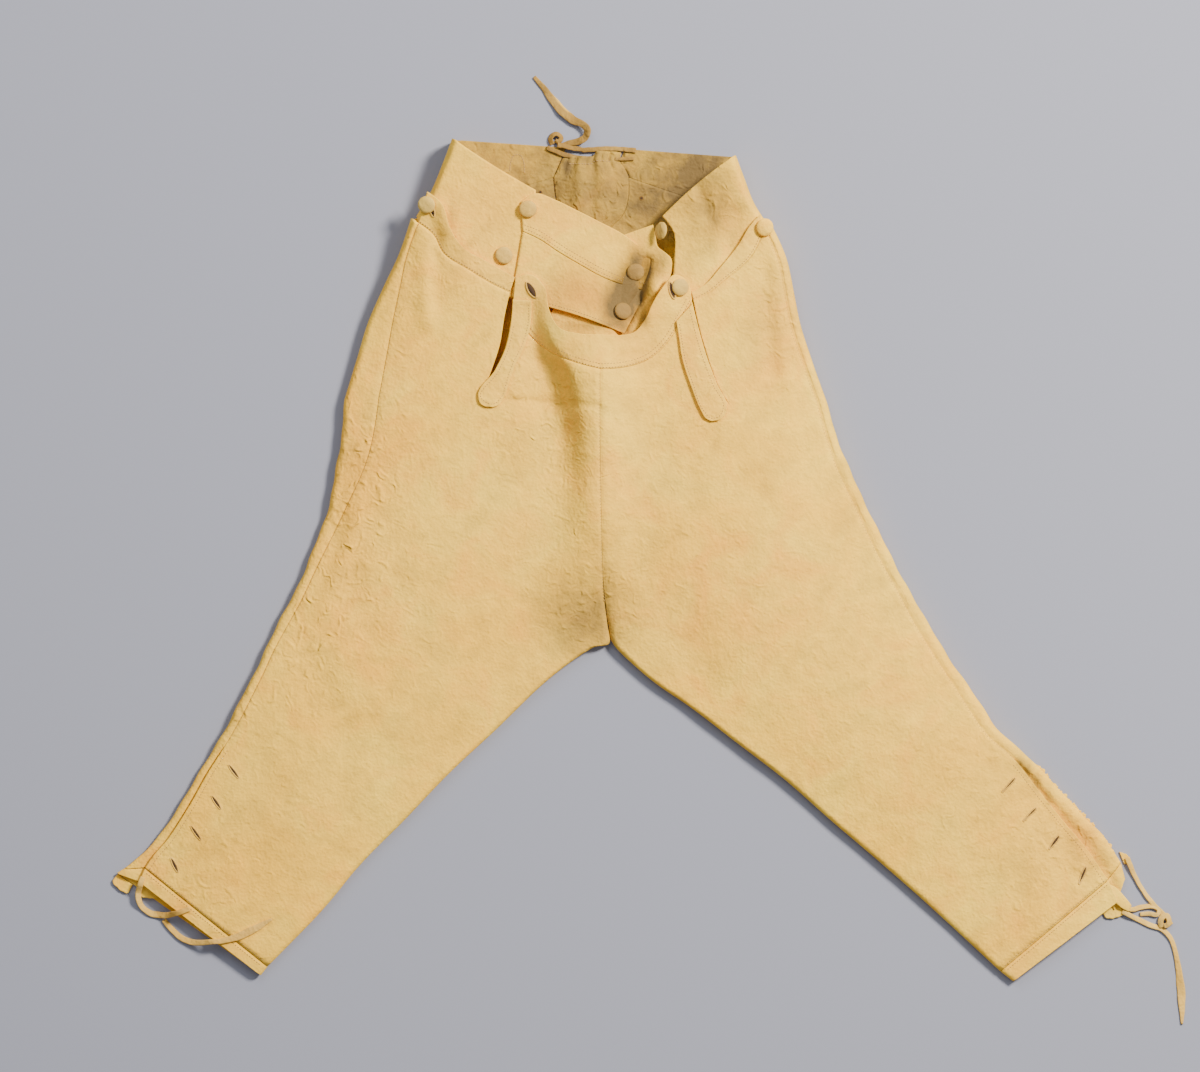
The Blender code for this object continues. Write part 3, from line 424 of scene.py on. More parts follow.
def hide(name, colours, nap=0.22, grain=0.3, rough=0.92, sheen=0.06):
    """Napped leather: clouds of pale, body and warm colour, darkened by soil and by
    the painted shade of the tone.

    warm share = patches + tone's green; soil share = flecks + dull patches + its red, which holds
    soil and painted shade
    """
    pale, body, warm, soil_and_shade = (colour(code) for code in colours)
    material = bpy.data.materials.new(name)
    material.use_nodes = True
    tree = material.node_tree
    shader = tree.nodes["Principled BSDF"]
    at = add(tree, "ShaderNodeTexCoord").outputs["Object"]
    tone = add(tree, "ShaderNodeAttribute", {"attribute_name": "tone"}).outputs["Color"]
    parts = add(tree, "ShaderNodeSeparateColor", Color=tone)
    cloud = add(tree, "ShaderNodeTexNoise", Vector=at, Scale=11.0, Detail=5.0, Roughness=0.55,
                Distortion=0.6)
    fleck = add(tree, "ShaderNodeTexNoise", Vector=at, Scale=70.0, Detail=6.0, Roughness=0.62,
                Distortion=0.3)
    fine = add(tree, "ShaderNodeTexNoise", Vector=at, Scale=850.0, Detail=3.0, Roughness=0.6)
    patch = add(tree, "ShaderNodeTexNoise", Vector=at, Scale=19.0, Detail=4.0, Roughness=0.5,
                Distortion=0.9)
    pale_share = add(tree, "ShaderNodeMapRange", Value=cloud.outputs["Fac"],
                     From_Min=0.36, From_Max=0.68, To_Min=0.0, To_Max=1.0)
    base = add(tree, "ShaderNodeMix", {"data_type": "RGBA"},
               i0=pale_share.outputs[0], i6=body, i7=pale)
    warm_patch = add(tree, "ShaderNodeMapRange", Value=patch.outputs["Fac"],
                     From_Min=0.52, From_Max=0.74, To_Min=0.0, To_Max=0.5)
    warm_share = add(tree, "ShaderNodeMath", {"operation": "ADD", "use_clamp": True},
                     i0=warm_patch.outputs[0], i1=parts.outputs["Green"])
    warmed = add(tree, "ShaderNodeMix", {"data_type": "RGBA"},
                 i0=warm_share.outputs[0], i6=base.outputs[2], i7=warm)
    speckled = add(tree, "ShaderNodeMapRange", Value=fleck.outputs["Fac"],
                   From_Min=0.35, From_Max=0.75, To_Min=0.14, To_Max=-0.08)
    dull = add(tree, "ShaderNodeMapRange", Value=patch.outputs["Fac"],
               From_Min=0.30, From_Max=0.50, To_Min=0.16, To_Max=0.0)
    spotted = add(tree, "ShaderNodeMath", {"operation": "ADD"},
                  i0=speckled.outputs[0], i1=dull.outputs[0])
    # the tone's red adds soil and painted shade: cast shadows, dark gaps and hollows
    soil_and_shade_share = add(tree, "ShaderNodeMath", {"operation": "ADD", "use_clamp": True},
                     i0=spotted.outputs[0], i1=parts.outputs["Red"])
    soiled_and_shaded = add(tree, "ShaderNodeMix", {"data_type": "RGBA"},
                 i0=soil_and_shade_share.outputs[0], i6=warmed.outputs[2], i7=soil_and_shade)
    nap_tint = add(tree, "ShaderNodeMapRange", Value=fine.outputs["Fac"],
                   From_Min=0.3, From_Max=0.7, To_Min=0.93, To_Max=1.06).outputs[0]
    grey = add(tree, "ShaderNodeCombineColor", Red=nap_tint, Green=nap_tint, Blue=nap_tint)
    napped = add(tree, "ShaderNodeMix", {"data_type": "RGBA", "blend_type": "MULTIPLY"},
                 i0=1.0, i6=soiled_and_shaded.outputs[2], i7=grey.outputs[0])
    tree.links.new(napped.outputs[2], shader.inputs["Base Color"])
    shader.inputs["Roughness"].default_value = rough
    shader.inputs["IOR"].default_value = 1.45
    shader.inputs["Specular IOR Level"].default_value = 0.25
    shader.inputs["Sheen Weight"].default_value = sheen
    shader.inputs["Sheen Roughness"].default_value = 0.55
    shader.inputs["Sheen Tint"].default_value = pale
    # pebbled grain of the hide, wrinkles where the tone says so, then the nap
    pebble = add(tree, "ShaderNodeTexVoronoi", {"feature": "SMOOTH_F1"}, Vector=at, Scale=330.0,
                 Smoothness=0.6, Randomness=1.0)
    crinkle = add(tree, "ShaderNodeTexNoise", {"noise_type": "RIDGED_MULTIFRACTAL"}, Vector=at,
                  Scale=88.0, Detail=4.0, Roughness=0.45, Distortion=1.1)
    crinkled = add(tree, "ShaderNodeMath", {"operation": "MULTIPLY"},
                   i0=crinkle.outputs["Fac"], i1=parts.outputs["Blue"])
    bumps = [(grain, 0.0012, pebble.outputs["Distance"]), (1.0, 0.0026, crinkled.outputs[0]),
             (0.6, 0.0022, fleck.outputs["Fac"]), (nap, 0.0006, fine.outputs["Fac"])]
    under = {}
    for strength, distance, high in bumps:
        bump = add(tree, "ShaderNodeBump", Strength=strength, Distance=distance,
                   Height=high, **under)
        under = {"Normal": bump.outputs[0]}
    tree.links.new(under["Normal"], shader.inputs["Normal"])
    return material


# pale, body, warm, and soil-and-painted-shade colour of each
buckskin = hide("buckskin, oil tanned and buffed", ("#FFD048", "#FFC339", "#FFAD30", "#6E5730"))
band_skin = hide("buckskin bands, buffed smoother", ("#FFD24C", "#FFC23D", "#FFAC34", "#7A5A20"),
                 nap=0.16, grain=0.22)
button_skin = hide("leather-covered button, rubbed", ("#DFBC5E", "#CCA348", "#C69036", "#8A6A34"),
                   nap=0.12, grain=0.15, rough=0.8)
thong_skin = hide("leather thong, cut edge", ("#E8BE60", "#D4A548", "#CC8E38", "#6A4A20"),
                  nap=0.3, grain=0.3)
print("leathers", len(bpy.data.materials))

# %% [markdown]
# Thread and the painted dark of a cut hole.  The seams are sewn with waxed
# linen, a twisted yarn that reads as a row of short bright grains, and a
# buttonhole's slit is a thin sheet painted dark with the shade of its cut edge.

# %% Thread and shade


def plain(name, tint, dark, scale, rough, bump):
    """A colour mottled by one noise, with a bump of the same noise."""
    material = bpy.data.materials.new(name)
    material.use_nodes = True
    tree = material.node_tree
    shader = tree.nodes["Principled BSDF"]
    at = add(tree, "ShaderNodeTexCoord").outputs["Object"]
    noise = add(tree, "ShaderNodeTexNoise", Vector=at, Scale=scale, Detail=4.0, Roughness=0.6)
    mixed = add(tree, "ShaderNodeMix", {"data_type": "RGBA"},
                i0=noise.outputs["Fac"], i6=tint, i7=dark)
    ridge = add(tree, "ShaderNodeBump", Strength=bump, Distance=0.0005, Height=noise.outputs["Fac"])
    tree.links.new(mixed.outputs[2], shader.inputs["Base Color"])
    tree.links.new(ridge.outputs[0], shader.inputs["Normal"])
    shader.inputs["Roughness"].default_value = rough
    return material


linen = plain("linen thread, waxed", colour("#B9945A"), colour("#8F6C3C"), 1500.0, 0.7, 0.5)
# painted shade: a dark colour that stands for the shade inside a cut hole
painted_hole_shade = plain("painted shade of a cut hole", colour("#4A3118"), colour("#33200E"), 400.0, 0.95, 0.3)
print("materials", len(bpy.data.materials))

# %% [markdown]
# Where the leather is soiled, warm or wrinkled, and where shade is painted on
# it.  The spots are listed in mat millimetres, and each fades out like a bell.

# %% The tone of a place
# u v | reach u v | soil and painted shade | warmth | wrinkles
SHADE_AND_TONE_SPOTS = [
    (352, 540, 45, 110, 0.0, 0.34, 0.75), (300, 655, 40, 60, 0.02, 0.16, 0.65),
    (385, 440, 40, 60, 0.0, 0.22, 0.35), (470, 275, 60, 26, 0.0, 0.22, 0.25),
    (480, 215, 34, 44, 0.03, 0.4, 0.2), (560, 440, 60, 60, 0.05, 0.05, 0.45),
    (600, 600, 60, 50, 0.05, 0.12, 0.30), (745, 590, 90, 60, 0.02, 0.24, 0.15),
    (660, 470, 40, 60, 0.06, 0.05, 0.2), (730, 225, 24, 30, 0.02, 0.24, 0.2),
    (1050, 850, 50, 50, 0.05, 0.20, 0.45), (1088, 838, 18, 22, 0.05, 0.45, 0.4),
    (200, 880, 60, 50, 0.04, 0.10, 0.45), (280, 800, 80, 60, 0.03, 0.12, 0.2),
    (590, 305, 50, 16, 0.02, 0.34, 0.15), (640, 330, 20, 24, 0.05, 0.22, 0.1),
    (860, 660, 80, 80, 0.03, 0.12, 0.15), (430, 620, 80, 70, 0.03, 0.04, 0.15),
    # (600, 190): painted shade and the darker flesh side on the inside of the waist
    (600, 190, 70, 30, 0.12, 0.10, 0.5), (510, 385, 30, 60, 0.06, 0.05, 0.35),
    (705, 395, 26, 36, 0.05, 0.06, 0.3), (780, 320, 30, 80, 0.02, 0.12, 0.35),
    # (640, 300) and (515, 330): painted shade in the gap beside the tongue and along the left slit
    (960, 800, 60, 60, 0.04, 0.05, 0.15), (640, 300, 12, 14, 0.14, 0.1, 0.1),
    (515, 330, 10, 40, 0.16, 0.1, 0.2), (690, 350, 9, 50, 0.06, 0.1, 0.2),
    # (690, 190) and (640, 212): painted shade inside the waist, under the right waistband; (714,
    # 210): painted shade on the right waistband, which faces away from the lamp
    (690, 190, 44, 34, 0.28, 0.0, 0.3), (640, 212, 26, 20, 0.14, 0.0, 0.3),
    # (584, 620) and (603, 575): painted shade at the crotch and the lower end of the front seam;
    # (792, 300): painted shade on the right hip
    (714, 210, 28, 36, 0.42, 0.15, 0.3), (584, 620, 42, 34, 0.62, 0.1, 0.4),
    (603, 575, 12, 40, 0.14, 0.0, 0.3), (792, 300, 20, 60, 0.05, 0.18, 0.3),
    # (637, 262), (627, 286) and (617, 310): painted shadow that the raised fall casts on the
    # tongue's right part; (560, 385): painted shade, greyer, in the trough beside the front seam
    (637, 262, 12, 14, 0.8, 0.2, 0.1), (627, 286, 16, 18, 1.05, 0.2, 0.1),
    (617, 310, 16, 17, 1.1, 0.2, 0.1), (560, 385, 14, 34, 0.06, -0.1, 0.3),
    # (568, 165): painted shade in the gap between the gusset and the left waistband
    (568, 165, 5, 9, 0.4, 0.0, 0.2), (573, 290, 34, 20, 0.26, 0.5, 0.1),
    # (649, 270) to (624, 330): painted shade in the narrow gap along the tongue's right edge; (660,
    # 263): painted shade beside the right bearer's button
    (649, 270, 4, 12, 0.55, 0.2, 0.0), (646, 285, 4, 10, 0.5, 0.2, 0.0),
    (640, 300, 4, 10, 0.55, 0.2, 0.0), (632, 315, 4, 8, 0.4, 0.2, 0.0),
    (624, 330, 5, 5, 0.25, 0.0, 0.0), (660, 263, 10, 17, 0.50, 0.0, 0.2),
    # (452, 214): painted shade under the raised corner of the left pocket band
    (452, 214, 4, 15, 0.3, 0.0, 0.0), (765, 330, 24, 50, 0.22, 0.2, 0.2),
    # (1020, 763) to (1048, 796): painted shade in the crevice along the right knee's vent
    (1020, 763, 4, 6, 0.5, 0.0, 0.0), (1028, 770, 4, 8, 0.5, 0.0, 0.0),
    (1037, 782, 4, 8, 0.5, 0.0, 0.0), (1048, 796, 4, 8, 0.35, 0.0, 0.0),
    # (645, 321): painted shade in the notch between the right bearer and the fall; (596, 326):
    # painted shade under the tongue's foot
    (645, 321, 5, 8, 0.6, 0.0, 0.0), (596, 326, 30, 4, 0.3, 0.0, 0.0),
    (560, 410, 26, 40, 0.05, 0.0, 0.4), (404, 300, 16, 60, 0.06, 0.12, 0.5),
    (352, 450, 18, 50, 0.05, 0.2, 0.6), (240, 720, 20, 40, 0.05, 0.1, 0.5),
    (940, 760, 50, 40, 0.05, 0.0, 0.2), (1010, 930, 30, 40, 0.05, 0.1, 0.3),
    (560, 560, 40, 60, 0.05, -0.05, 0.2), (700, 640, 40, 50, 0.04, 0.1, 0.1),
]


PLAIN_TONE = [0.03, 0.02, 0.14, 1.0]    # away from every spot
INSIDE_FLESH_AND_SHADE_TONE = (0.58, 0.0, 0.5)          # added on the inside of the waist: its darker flesh side and painted shade


def tone_of(points):
    """Soil and painted shade, warmth and wrinkles: base values plus bells over the spots."""
    u, v = points[:, 0] * 1000 + MID_U, MID_V - points[:, 1] * 1000
    out = np.tile(PLAIN_TONE, (len(points), 1))
    for su, sv, ru, rv, *adds in SHADE_AND_TONE_SPOTS:
        bell = np.exp(-((u - su) / ru) ** 2 - ((v - sv) / rv) ** 2)
        out[:, :3] += bell[:, None] * adds
    # the waist opens above v 250 between u 430 and 745, and its inside lies 1 to 16 mm up
    z = points[:, 2] * 1000
    ramps = [(z - 1.1) * 2, (16 - z) / 6, (250 - v) / 12, (u - 430) / 20, (745 - u) / 8]
    # painted shade and the darker flesh side on the inside of the waist
    inside = np.prod(np.clip(ramps, 0, 1), axis=0)
    out[:, :3] += inside[:, None] * INSIDE_FLESH_AND_SHADE_TONE
    return np.clip(out, 0, 1)


print("spots", len(SHADE_AND_TONE_SPOTS))

# %% [markdown]
# How a wall of leather is made: the middle surface is a grid of points, the
# normals at its points push one copy up and one down by half the thickness,
# and the rim is closed with a strip.  Everything is done on whole arrays.

# %% Meshes from arrays


def halves(quads):
    """Two triangles of each quad."""
    return np.concatenate([quads[:, [0, 1, 2]], quads[:, [0, 2, 3]]])


def inside_out(points, quads):
    """True where the signed volume a . (b x c) of the triangles is below zero."""
    a, b, c = (points[halves(quads)[:, k]] for k in range(3))
    return (a * np.cross(b, c)).sum() < 0


def piece(name, points, faces, material, tone=True):
    """Mesh object at the origin, on the garment's one body."""
    mesh = bpy.data.meshes.new(name)
    mesh.from_pydata(points.tolist(), [], faces)
    if tone:
        layer = mesh.attributes.new("tone", "FLOAT_COLOR", "POINT")
        layer.data.foreach_set("color", tone_of(points).astype(np.float32).ravel())
    mesh.polygons.foreach_set("use_smooth", np.ones(len(mesh.polygons), bool))
    mesh.materials.append(material)
    mesh.update()
    obj = bpy.data.objects.new(name, mesh)
    bpy.context.scene.collection.objects.link(obj)
    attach(obj, "root")
    return obj


def skin(name, points, quads, material, tone=True):
    """Piece made of quads only, turned so that its faces point outwards."""
    if inside_out(points, quads):
        quads = quads[:, ::-1]
    return piece(name, points, quads.tolist(), material, tone)


def grid_quads(rows, columns, base=0, tube=False, ring=False):
    """Quads of a grid; a tube joins its columns' ends, a ring its rows' too."""
    i = base + np.arange(rows * columns).reshape(rows, columns)
    if ring:
        i = np.r_[i, i[:1]]
    if tube or ring:
        i = np.c_[i, i[:, :1]]
    return np.stack([i[:-1, :-1], i[:-1, 1:], i[1:, 1:], i[1:, :-1]], -1).reshape(-1, 4)


def wall(name, grids, material=buckskin, thick=WALL, stands_for=()):
    """Leather on the middle surfaces in grids: middle +- normal * half the wall."""
    pts, quads, base = [], [], 0
    for g in grids:
        pts.append(place(g))
        quads.append(grid_quads(*g.shape[:2], base))
        base += g.shape[0] * g.shape[1]
    pts, quads = np.concatenate(pts), np.concatenate(quads)
    key = np.round(pts / 2e-5).astype(np.int64)
    _, first, back = np.unique(key, axis=0, return_index=True, return_inverse=True)
    pts, quads = pts[first], back.reshape(-1)[quads]
    tri = halves(quads)
    n = np.cross(pts[tri[:, 1]] - pts[tri[:, 0]], pts[tri[:, 2]] - pts[tri[:, 0]])
    normal = np.stack([np.bincount(tri.ravel(), np.repeat(n[:, k], 3), len(pts))
                       for k in range(3)], -1)
    normal /= np.maximum(np.linalg.norm(normal, axis=1), 1e-15)[:, None]
    m, half = len(pts), normal * thick / 2000
    e = quads[:, [0, 1, 1, 2, 2, 3, 3, 0]].reshape(-1, 2)
    rim = e[~np.isin(e[:, 0] * m + e[:, 1], e[:, 1] * m + e[:, 0])]
    sides = np.c_[rim[:, 1], rim[:, 0], rim[:, 0] + m, rim[:, 1] + m]
    faces = np.concatenate([quads, m + quads[:, ::-1], sides])
    obj = skin(name, np.concatenate([pts + half, pts - half]), faces, material)
    if stands_for:
        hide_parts(*stands_for)
    return obj


def surface_of(obj):
    """Half the area of a closed wall, its cloth's own area, in square metres."""
    mesh = obj.data
    area = np.empty(len(mesh.polygons))
    mesh.polygons.foreach_get("area", area)
    return area.sum() / 2


print("meshes are made by piece(), skin() and wall()")

# %% [markdown]
# Ties and lace.  They are thongs cut from the same hide, 5 to 9 mm wide and
# thin, so they lie flat and twist where they turn.  A flat oval section is
# carried along each route, and the route is the one of the CAD solid.

# %% Thongs
THONG = 1.6   # thickness, mm


def route(points, n):
    """Smooth route through u, v, on the leather 1 or the mat 0, clear height."""
    p = np.array(points, float)
    z = p[:, 2] * (height(p) + WALL / 2) + THONG / 2 + 0.4 + p[:, 3]
    return cubic(np.c_[p[:, :2], z], np.linspace(0, 1, n))


def thong(name, points, widths, rolls=(0, 0), n=70, corners=14):
    """Flat strip: ring = centre + side * w/2 * cos + up * THONG/2 * sin, rolled."""
    c = route(points, n)
    t = np.linspace(0, 1, n)
    w = np.interp(t, np.linspace(0, 1, len(widths)), widths) / 2
    roll = np.radians(np.interp(t, np.linspace(0, 1, len(rolls)), rolls))
    along = np.gradient(c, axis=0)
    along /= np.linalg.norm(along, axis=1)[:, None]
    side = np.cross([0.0, 0.0, 1.0], along)
    side /= np.maximum(np.linalg.norm(side, axis=1), 1e-9)[:, None]
    up = np.cross(along, side)
    side, up = (side * np.cos(roll)[:, None] + up * np.sin(roll)[:, None],
                up * np.cos(roll)[:, None] - side * np.sin(roll)[:, None])
    k = corners
    a = np.arange(k) * 2 * np.pi / k
    cs, sn = (np.sign(s) * np.abs(s) ** 0.6 for s in (np.cos(a), np.sin(a)))
    edge = 1 + 0.05 * np.sin(t * n * 0.55)[:, None] * np.cos(a)[None]
    ring = (c[:, None] + side[:, None] * (w[:, None] * cs * edge)[..., None]
            + up[:, None] * (THONG / 2 * sn)[None, :, None])
    ring[..., 2] = np.maximum(ring[..., 2], 0.15)
    pts = place(np.concatenate([ring.reshape(-1, 3), c[:1], c[-1:]]))
    i = np.arange(k)
    j, last = (i + 1) % k, (n - 1) * k
    quads = grid_quads(n, k, tube=True)
    faces = (quads.tolist() + np.c_[j, i, np.full(k, n * k)].tolist()
             + np.c_[last + i, last + j, np.full(k, n * k + 1)].tolist())
    if inside_out(pts, quads):
        faces = [f[::-1] for f in faces]
    return piece(name, pts, faces, thong_skin), place(c)


def free(name, node, points, widths, rolls=(0, 0)):
    """A thong that stands in for a CAD cord, whose solid it hides."""
    obj, path = thong(name, points, widths, rolls)
    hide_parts(node)
    return obj


free("tie_left_upper", "knee_tie_left_upper",
     [(143, 877, 1, 0.4), (140.5, 884, 1, 0.6), (138, 893, 0, 4.6), (138, 900, 0, 3.4),
      (141, 907, 0, 0.3), (147, 912.5, 0, 0), (157, 915.5, 0, 0.5), (167, 915.5, 0, 5),
      (177, 913, 1, 0.2), (190, 908.5, 1, 0.2)],
     [5, 6, 6.5, 6, 6.5, 6, 5.5, 5], (0, 20, 35, 15, 0, -10, 0))
free("tie_left_lower", "knee_tie_left_lower",
     [(163, 920.5, 0, 0), (170, 929, 0, 0), (180, 938, 0, 0.3), (190, 942.5, 0, 2),
      (202, 942.8, 0, 7), (212, 941.8, 1, 0.2), (224, 940.5, 1, 0.2), (238, 936.5, 1, 0.2),
      (256, 928, 1, 0.2), (272, 919, 1, 0.2)],
     [5, 6, 6, 6, 5.5, 5, 6, 7.5, 8, 6, 2.5], (10, 20, 10, 0, 15, 0, -5, 0))
loop, _ = thong("tie_right_loop",
                [(1128.5, 909.5, 0, 2.1), (1134, 909.9, 0, 1.4), (1143, 907.6, 0, 0.6),
                 (1153, 907.2, 0, 0.4), (1160, 910.5, 0, 0.6), (1159, 914.6, 0, 1.4),
                 (1150, 914.4, 0, 0.8), (1141, 914.8, 0, 0.2)],
                [4.5, 5, 5, 4.6, 4.4, 4.6, 4], (0, 15, 35, 10, 0), 44)
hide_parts("knee_tie_right_loop")
# the knot: one turn of the thong round the other two
knot, _ = thong("tie_right_knot",
                [(1163, 928, 0, 1.4), (1161.5, 922, 0, 2.6), (1163.6, 917, 0, 3.2),
                 (1167.8, 916.4, 0, 3.4), (1169.8, 920.4, 0, 3.4), (1168.4, 925.4, 0, 3.0),
                 (1164.8, 926.6, 0, 2.6)],
                [5.4, 6, 6, 5.6, 6, 5], (10, 30, 20, 30, 10), 40)
free("tie_right_upper", "knee_tie_right_upper",
     [(1128, 858, 0, 2.2), (1131, 866, 0, 2.0), (1134, 873, 0, 0.4), (1138, 881, 0, 0),
      (1148, 897, 0, 0), (1158, 909, 0, 0), (1167, 918, 0, 0), (1172, 925.5, 0, 1)],
     [5.4, 5.2, 4.8, 4.8, 5, 5.4, 5], (0, 25, 30, -10, 0))
free("tie_right_lower", "knee_tie_right_lower",
     [(1123, 912, 0, 2.2), (1130, 915.5, 0, 2.1), (1137, 919.3, 0, 0.3), (1144, 922.5, 0, 0),
      (1153, 926.5, 0, 0), (1162, 929.5, 0, 0), (1170, 936.5, 0, 0), (1176, 951, 0, 0),
      (1179.5, 970, 0, 0), (1182, 990, 0, 0), (1183, 1008, 0, 0), (1183, 1025, 0, 0)],
     [4.6, 5, 5.4, 5.2, 5, 4.6, 5, 6.6, 8.4, 8, 5.5, 2], (0, 10, 20, 0, -20, 0, 0))
bow, _ = thong("back_bow",
               [(552.5, 143.8, 0, 1.4), (550.4, 138.6, 0, 1.8), (552.8, 134.4, 0, 2.0),
                (557.8, 133.6, 0, 2.0), (561.0, 137.2, 0, 1.8), (558.6, 141.2, 0, 1.6),
                (555.2, 139.6, 0, 2.6)],
               [5, 5.6, 5.4, 5.6, 5, 4.4], (10, 40, 35, 45, 30, 20), 44)
turn, _ = thong("back_lace_turn",
                [(557.5, 144.5, 0, 3.4), (563, 145.2, 0, 3.9), (571, 147, 0, 3.2),
                 (583, 149.2, 0, 2.2)], [5.5, 6.5, 5.5, 4], (20, 35, 10, 0), 36)
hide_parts("back_lace_bow")
free("back_lace_tail", "back_lace_end",
     [(559, 146.6, 0, 1.8), (567, 143.4, 0, 1.8), (577, 141.2, 0, 3), (585.5, 136.6, 0, 4.5),
      (587.4, 129.4, 0, 5.5), (582, 123.6, 0, 4.5), (572.5, 119, 0, 2), (561, 109, 0, 0.5),
      (550.5, 96.5, 0, 0), (541, 84, 0, 0), (534, 76, 0, 0)],
     [5, 6.5, 8, 8.5, 7, 9, 10, 8.8, 7, 5.4, 3.6], (0, 20, 35, 10, -25, -10, 10, 0))
free("back_lace_lower", "back_lace",
     [(547, 147, 0, 2.2), (556, 151, 0, 2.4), (570, 155.5, 0, 2), (586, 157.5, 0, 2),
      (604, 158.5, 0, 2), (620, 158.5, 0, 2), (634, 158, 0, 2.2)],
     [4.6, 4.8, 4, 3.6, 3.6, 3.6], (0, 20, 0))
free("back_lace_bar", "back_lace_upper",
     [(582, 149.5, 0, 2), (592, 149, 0, 2), (606, 148, 0, 2), (620, 148.4, 0, 2),
      (636, 150, 0, 2.2)],
     [5, 5, 4.6, 5], (0, 15, 0))

# %% [markdown]
# The legs.  Each front is one skin from the waist seam to the knee, and each
# back wraps round the outer edge to the side seam.  Row by row, the front runs
# from the side seam to the inner edge, where it turns down over a quarter of
# an ellipse to meet the back.  Beside a seam the leather is pulled down a
# little by the thread, which is what makes a seam read as a line.

# %% Rows of the legs
TURN = np.radians(np.linspace(90, 0, 10))     # angles round the inner edge
SEAT_AT = [0, 0.5, 1, 1.5, 2, 2.5, 3, 4, 5]   # seat rows at even steps down the slit
SEAT_FINE = np.linspace(0, 5, 61)             # row numbers of the seat's mesh
LEG_FINE = np.linspace(0, 15, 166)            # row numbers of the leg's mesh
VENT = {True: 10.0, False: 10.9}   # row where the vent starts, left and right
PLACKET = 1.2 * LAYER              # depth of the placket under the front
LAP = 9.0                          # how far the placket runs on under it
HOLLOW = {True: 1.2, False: 3.6}   # how much deeper it lies in its middle


def dip(distance):
    """Pull of the thread: 0.75 mm down at the seam, gone 5 mm away."""
    return -0.75 * np.exp(-(distance / 2.3) ** 2)


def sections(left, at=LEG_FINE):
    """Section rows of one leg at row numbers: edges, heights, turn share."""
    rows = between(LEG_LEFT if left else LEG_RIGHT, at)
    rows[:, 9] = np.clip(rows[:, 9] * (at > 3) + (at >= 6), 0, 1)
    way = unit(rows[:, 0:2] - rows[:, 4:6])[0]
    v = rows[:, 1]
    # the outer edge wavers by a millimetre, and not at the two end rows
    waver = 0.7 * np.sin(v / 12.0) + 0.45 * np.sin(v / 4.9 + 1)
    waver = waver * np.clip(at * 2, 0, 1) * np.clip((14.6 - at) * 2, 0, 1)
    rows[:, 0:2] += way * waver[:, None]
    return rows


def turn_of(inner, way, turn):
    """Rise and inset of the turn at the inner edge, for a share of it."""
    rise = (height(inner - way * ROLL) - FLAT) / 2
    tilt = (1 - turn) * np.sin(np.arctan(2 * rise * turn / ROLL)) + turn
    return rise, SEAM / 2 + 0.75 * WALL * tilt


def drop(rise, turn, angle):
    """Fall along the turn: from a parabola, cos squared, to an ellipse, 1 - sin."""
    r, t = rise[:, None], turn[:, None]
    return r * t * ((1 - t) * np.cos(angle) ** 2 + t * (1 - np.sin(angle)))


def unit(a):
    """Unit vectors and lengths of vectors: a / |a| and |a|."""
    n = np.linalg.norm(a, axis=-1, keepdims=True)
    return a / n, n[..., 0]


def front_rows(seam, inner, turn, shares, gap=SEAM / 2, pulled=0.0):
    """Rows of the front from the side seam, sewn down to row `pulled`, over the inner turn.

    x = share * (length - ROLL), then length - ROLL + ROLL cos a round the turn
    """
    way, _ = unit(inner - seam)
    seam = seam + way * gap
    rise, inset = turn_of(inner, way, turn)
    end = inner - way * inset[:, None]
    long = np.linalg.norm(end - seam, axis=1)
    x = np.concatenate([shares[None] * (long - ROLL)[:, None],
                        (long - ROLL)[:, None] + ROLL * np.cos(TURN[1:])[None]], 1)
    uv = seam[:, None] + x[..., None] * way[:, None]
    z = raised(uv)[..., 2]
    t = turn[:, None]
    m = len(shares)
    z[:, m:] = (1 - t) * z[:, m:] + t * z[:, m - 1:m] - drop(rise, turn, TURN[1:])
    if pulled:
        near = np.clip((pulled + 0.2 - LEG_FINE) * 4, 0, 1)[:, None]
        z += dip(x) * near + dip(long[:, None] - x) * (1 - t)
    z[:, -1] += SEAM / 2 * turn
    return np.concatenate([uv, z[..., None]], -1)


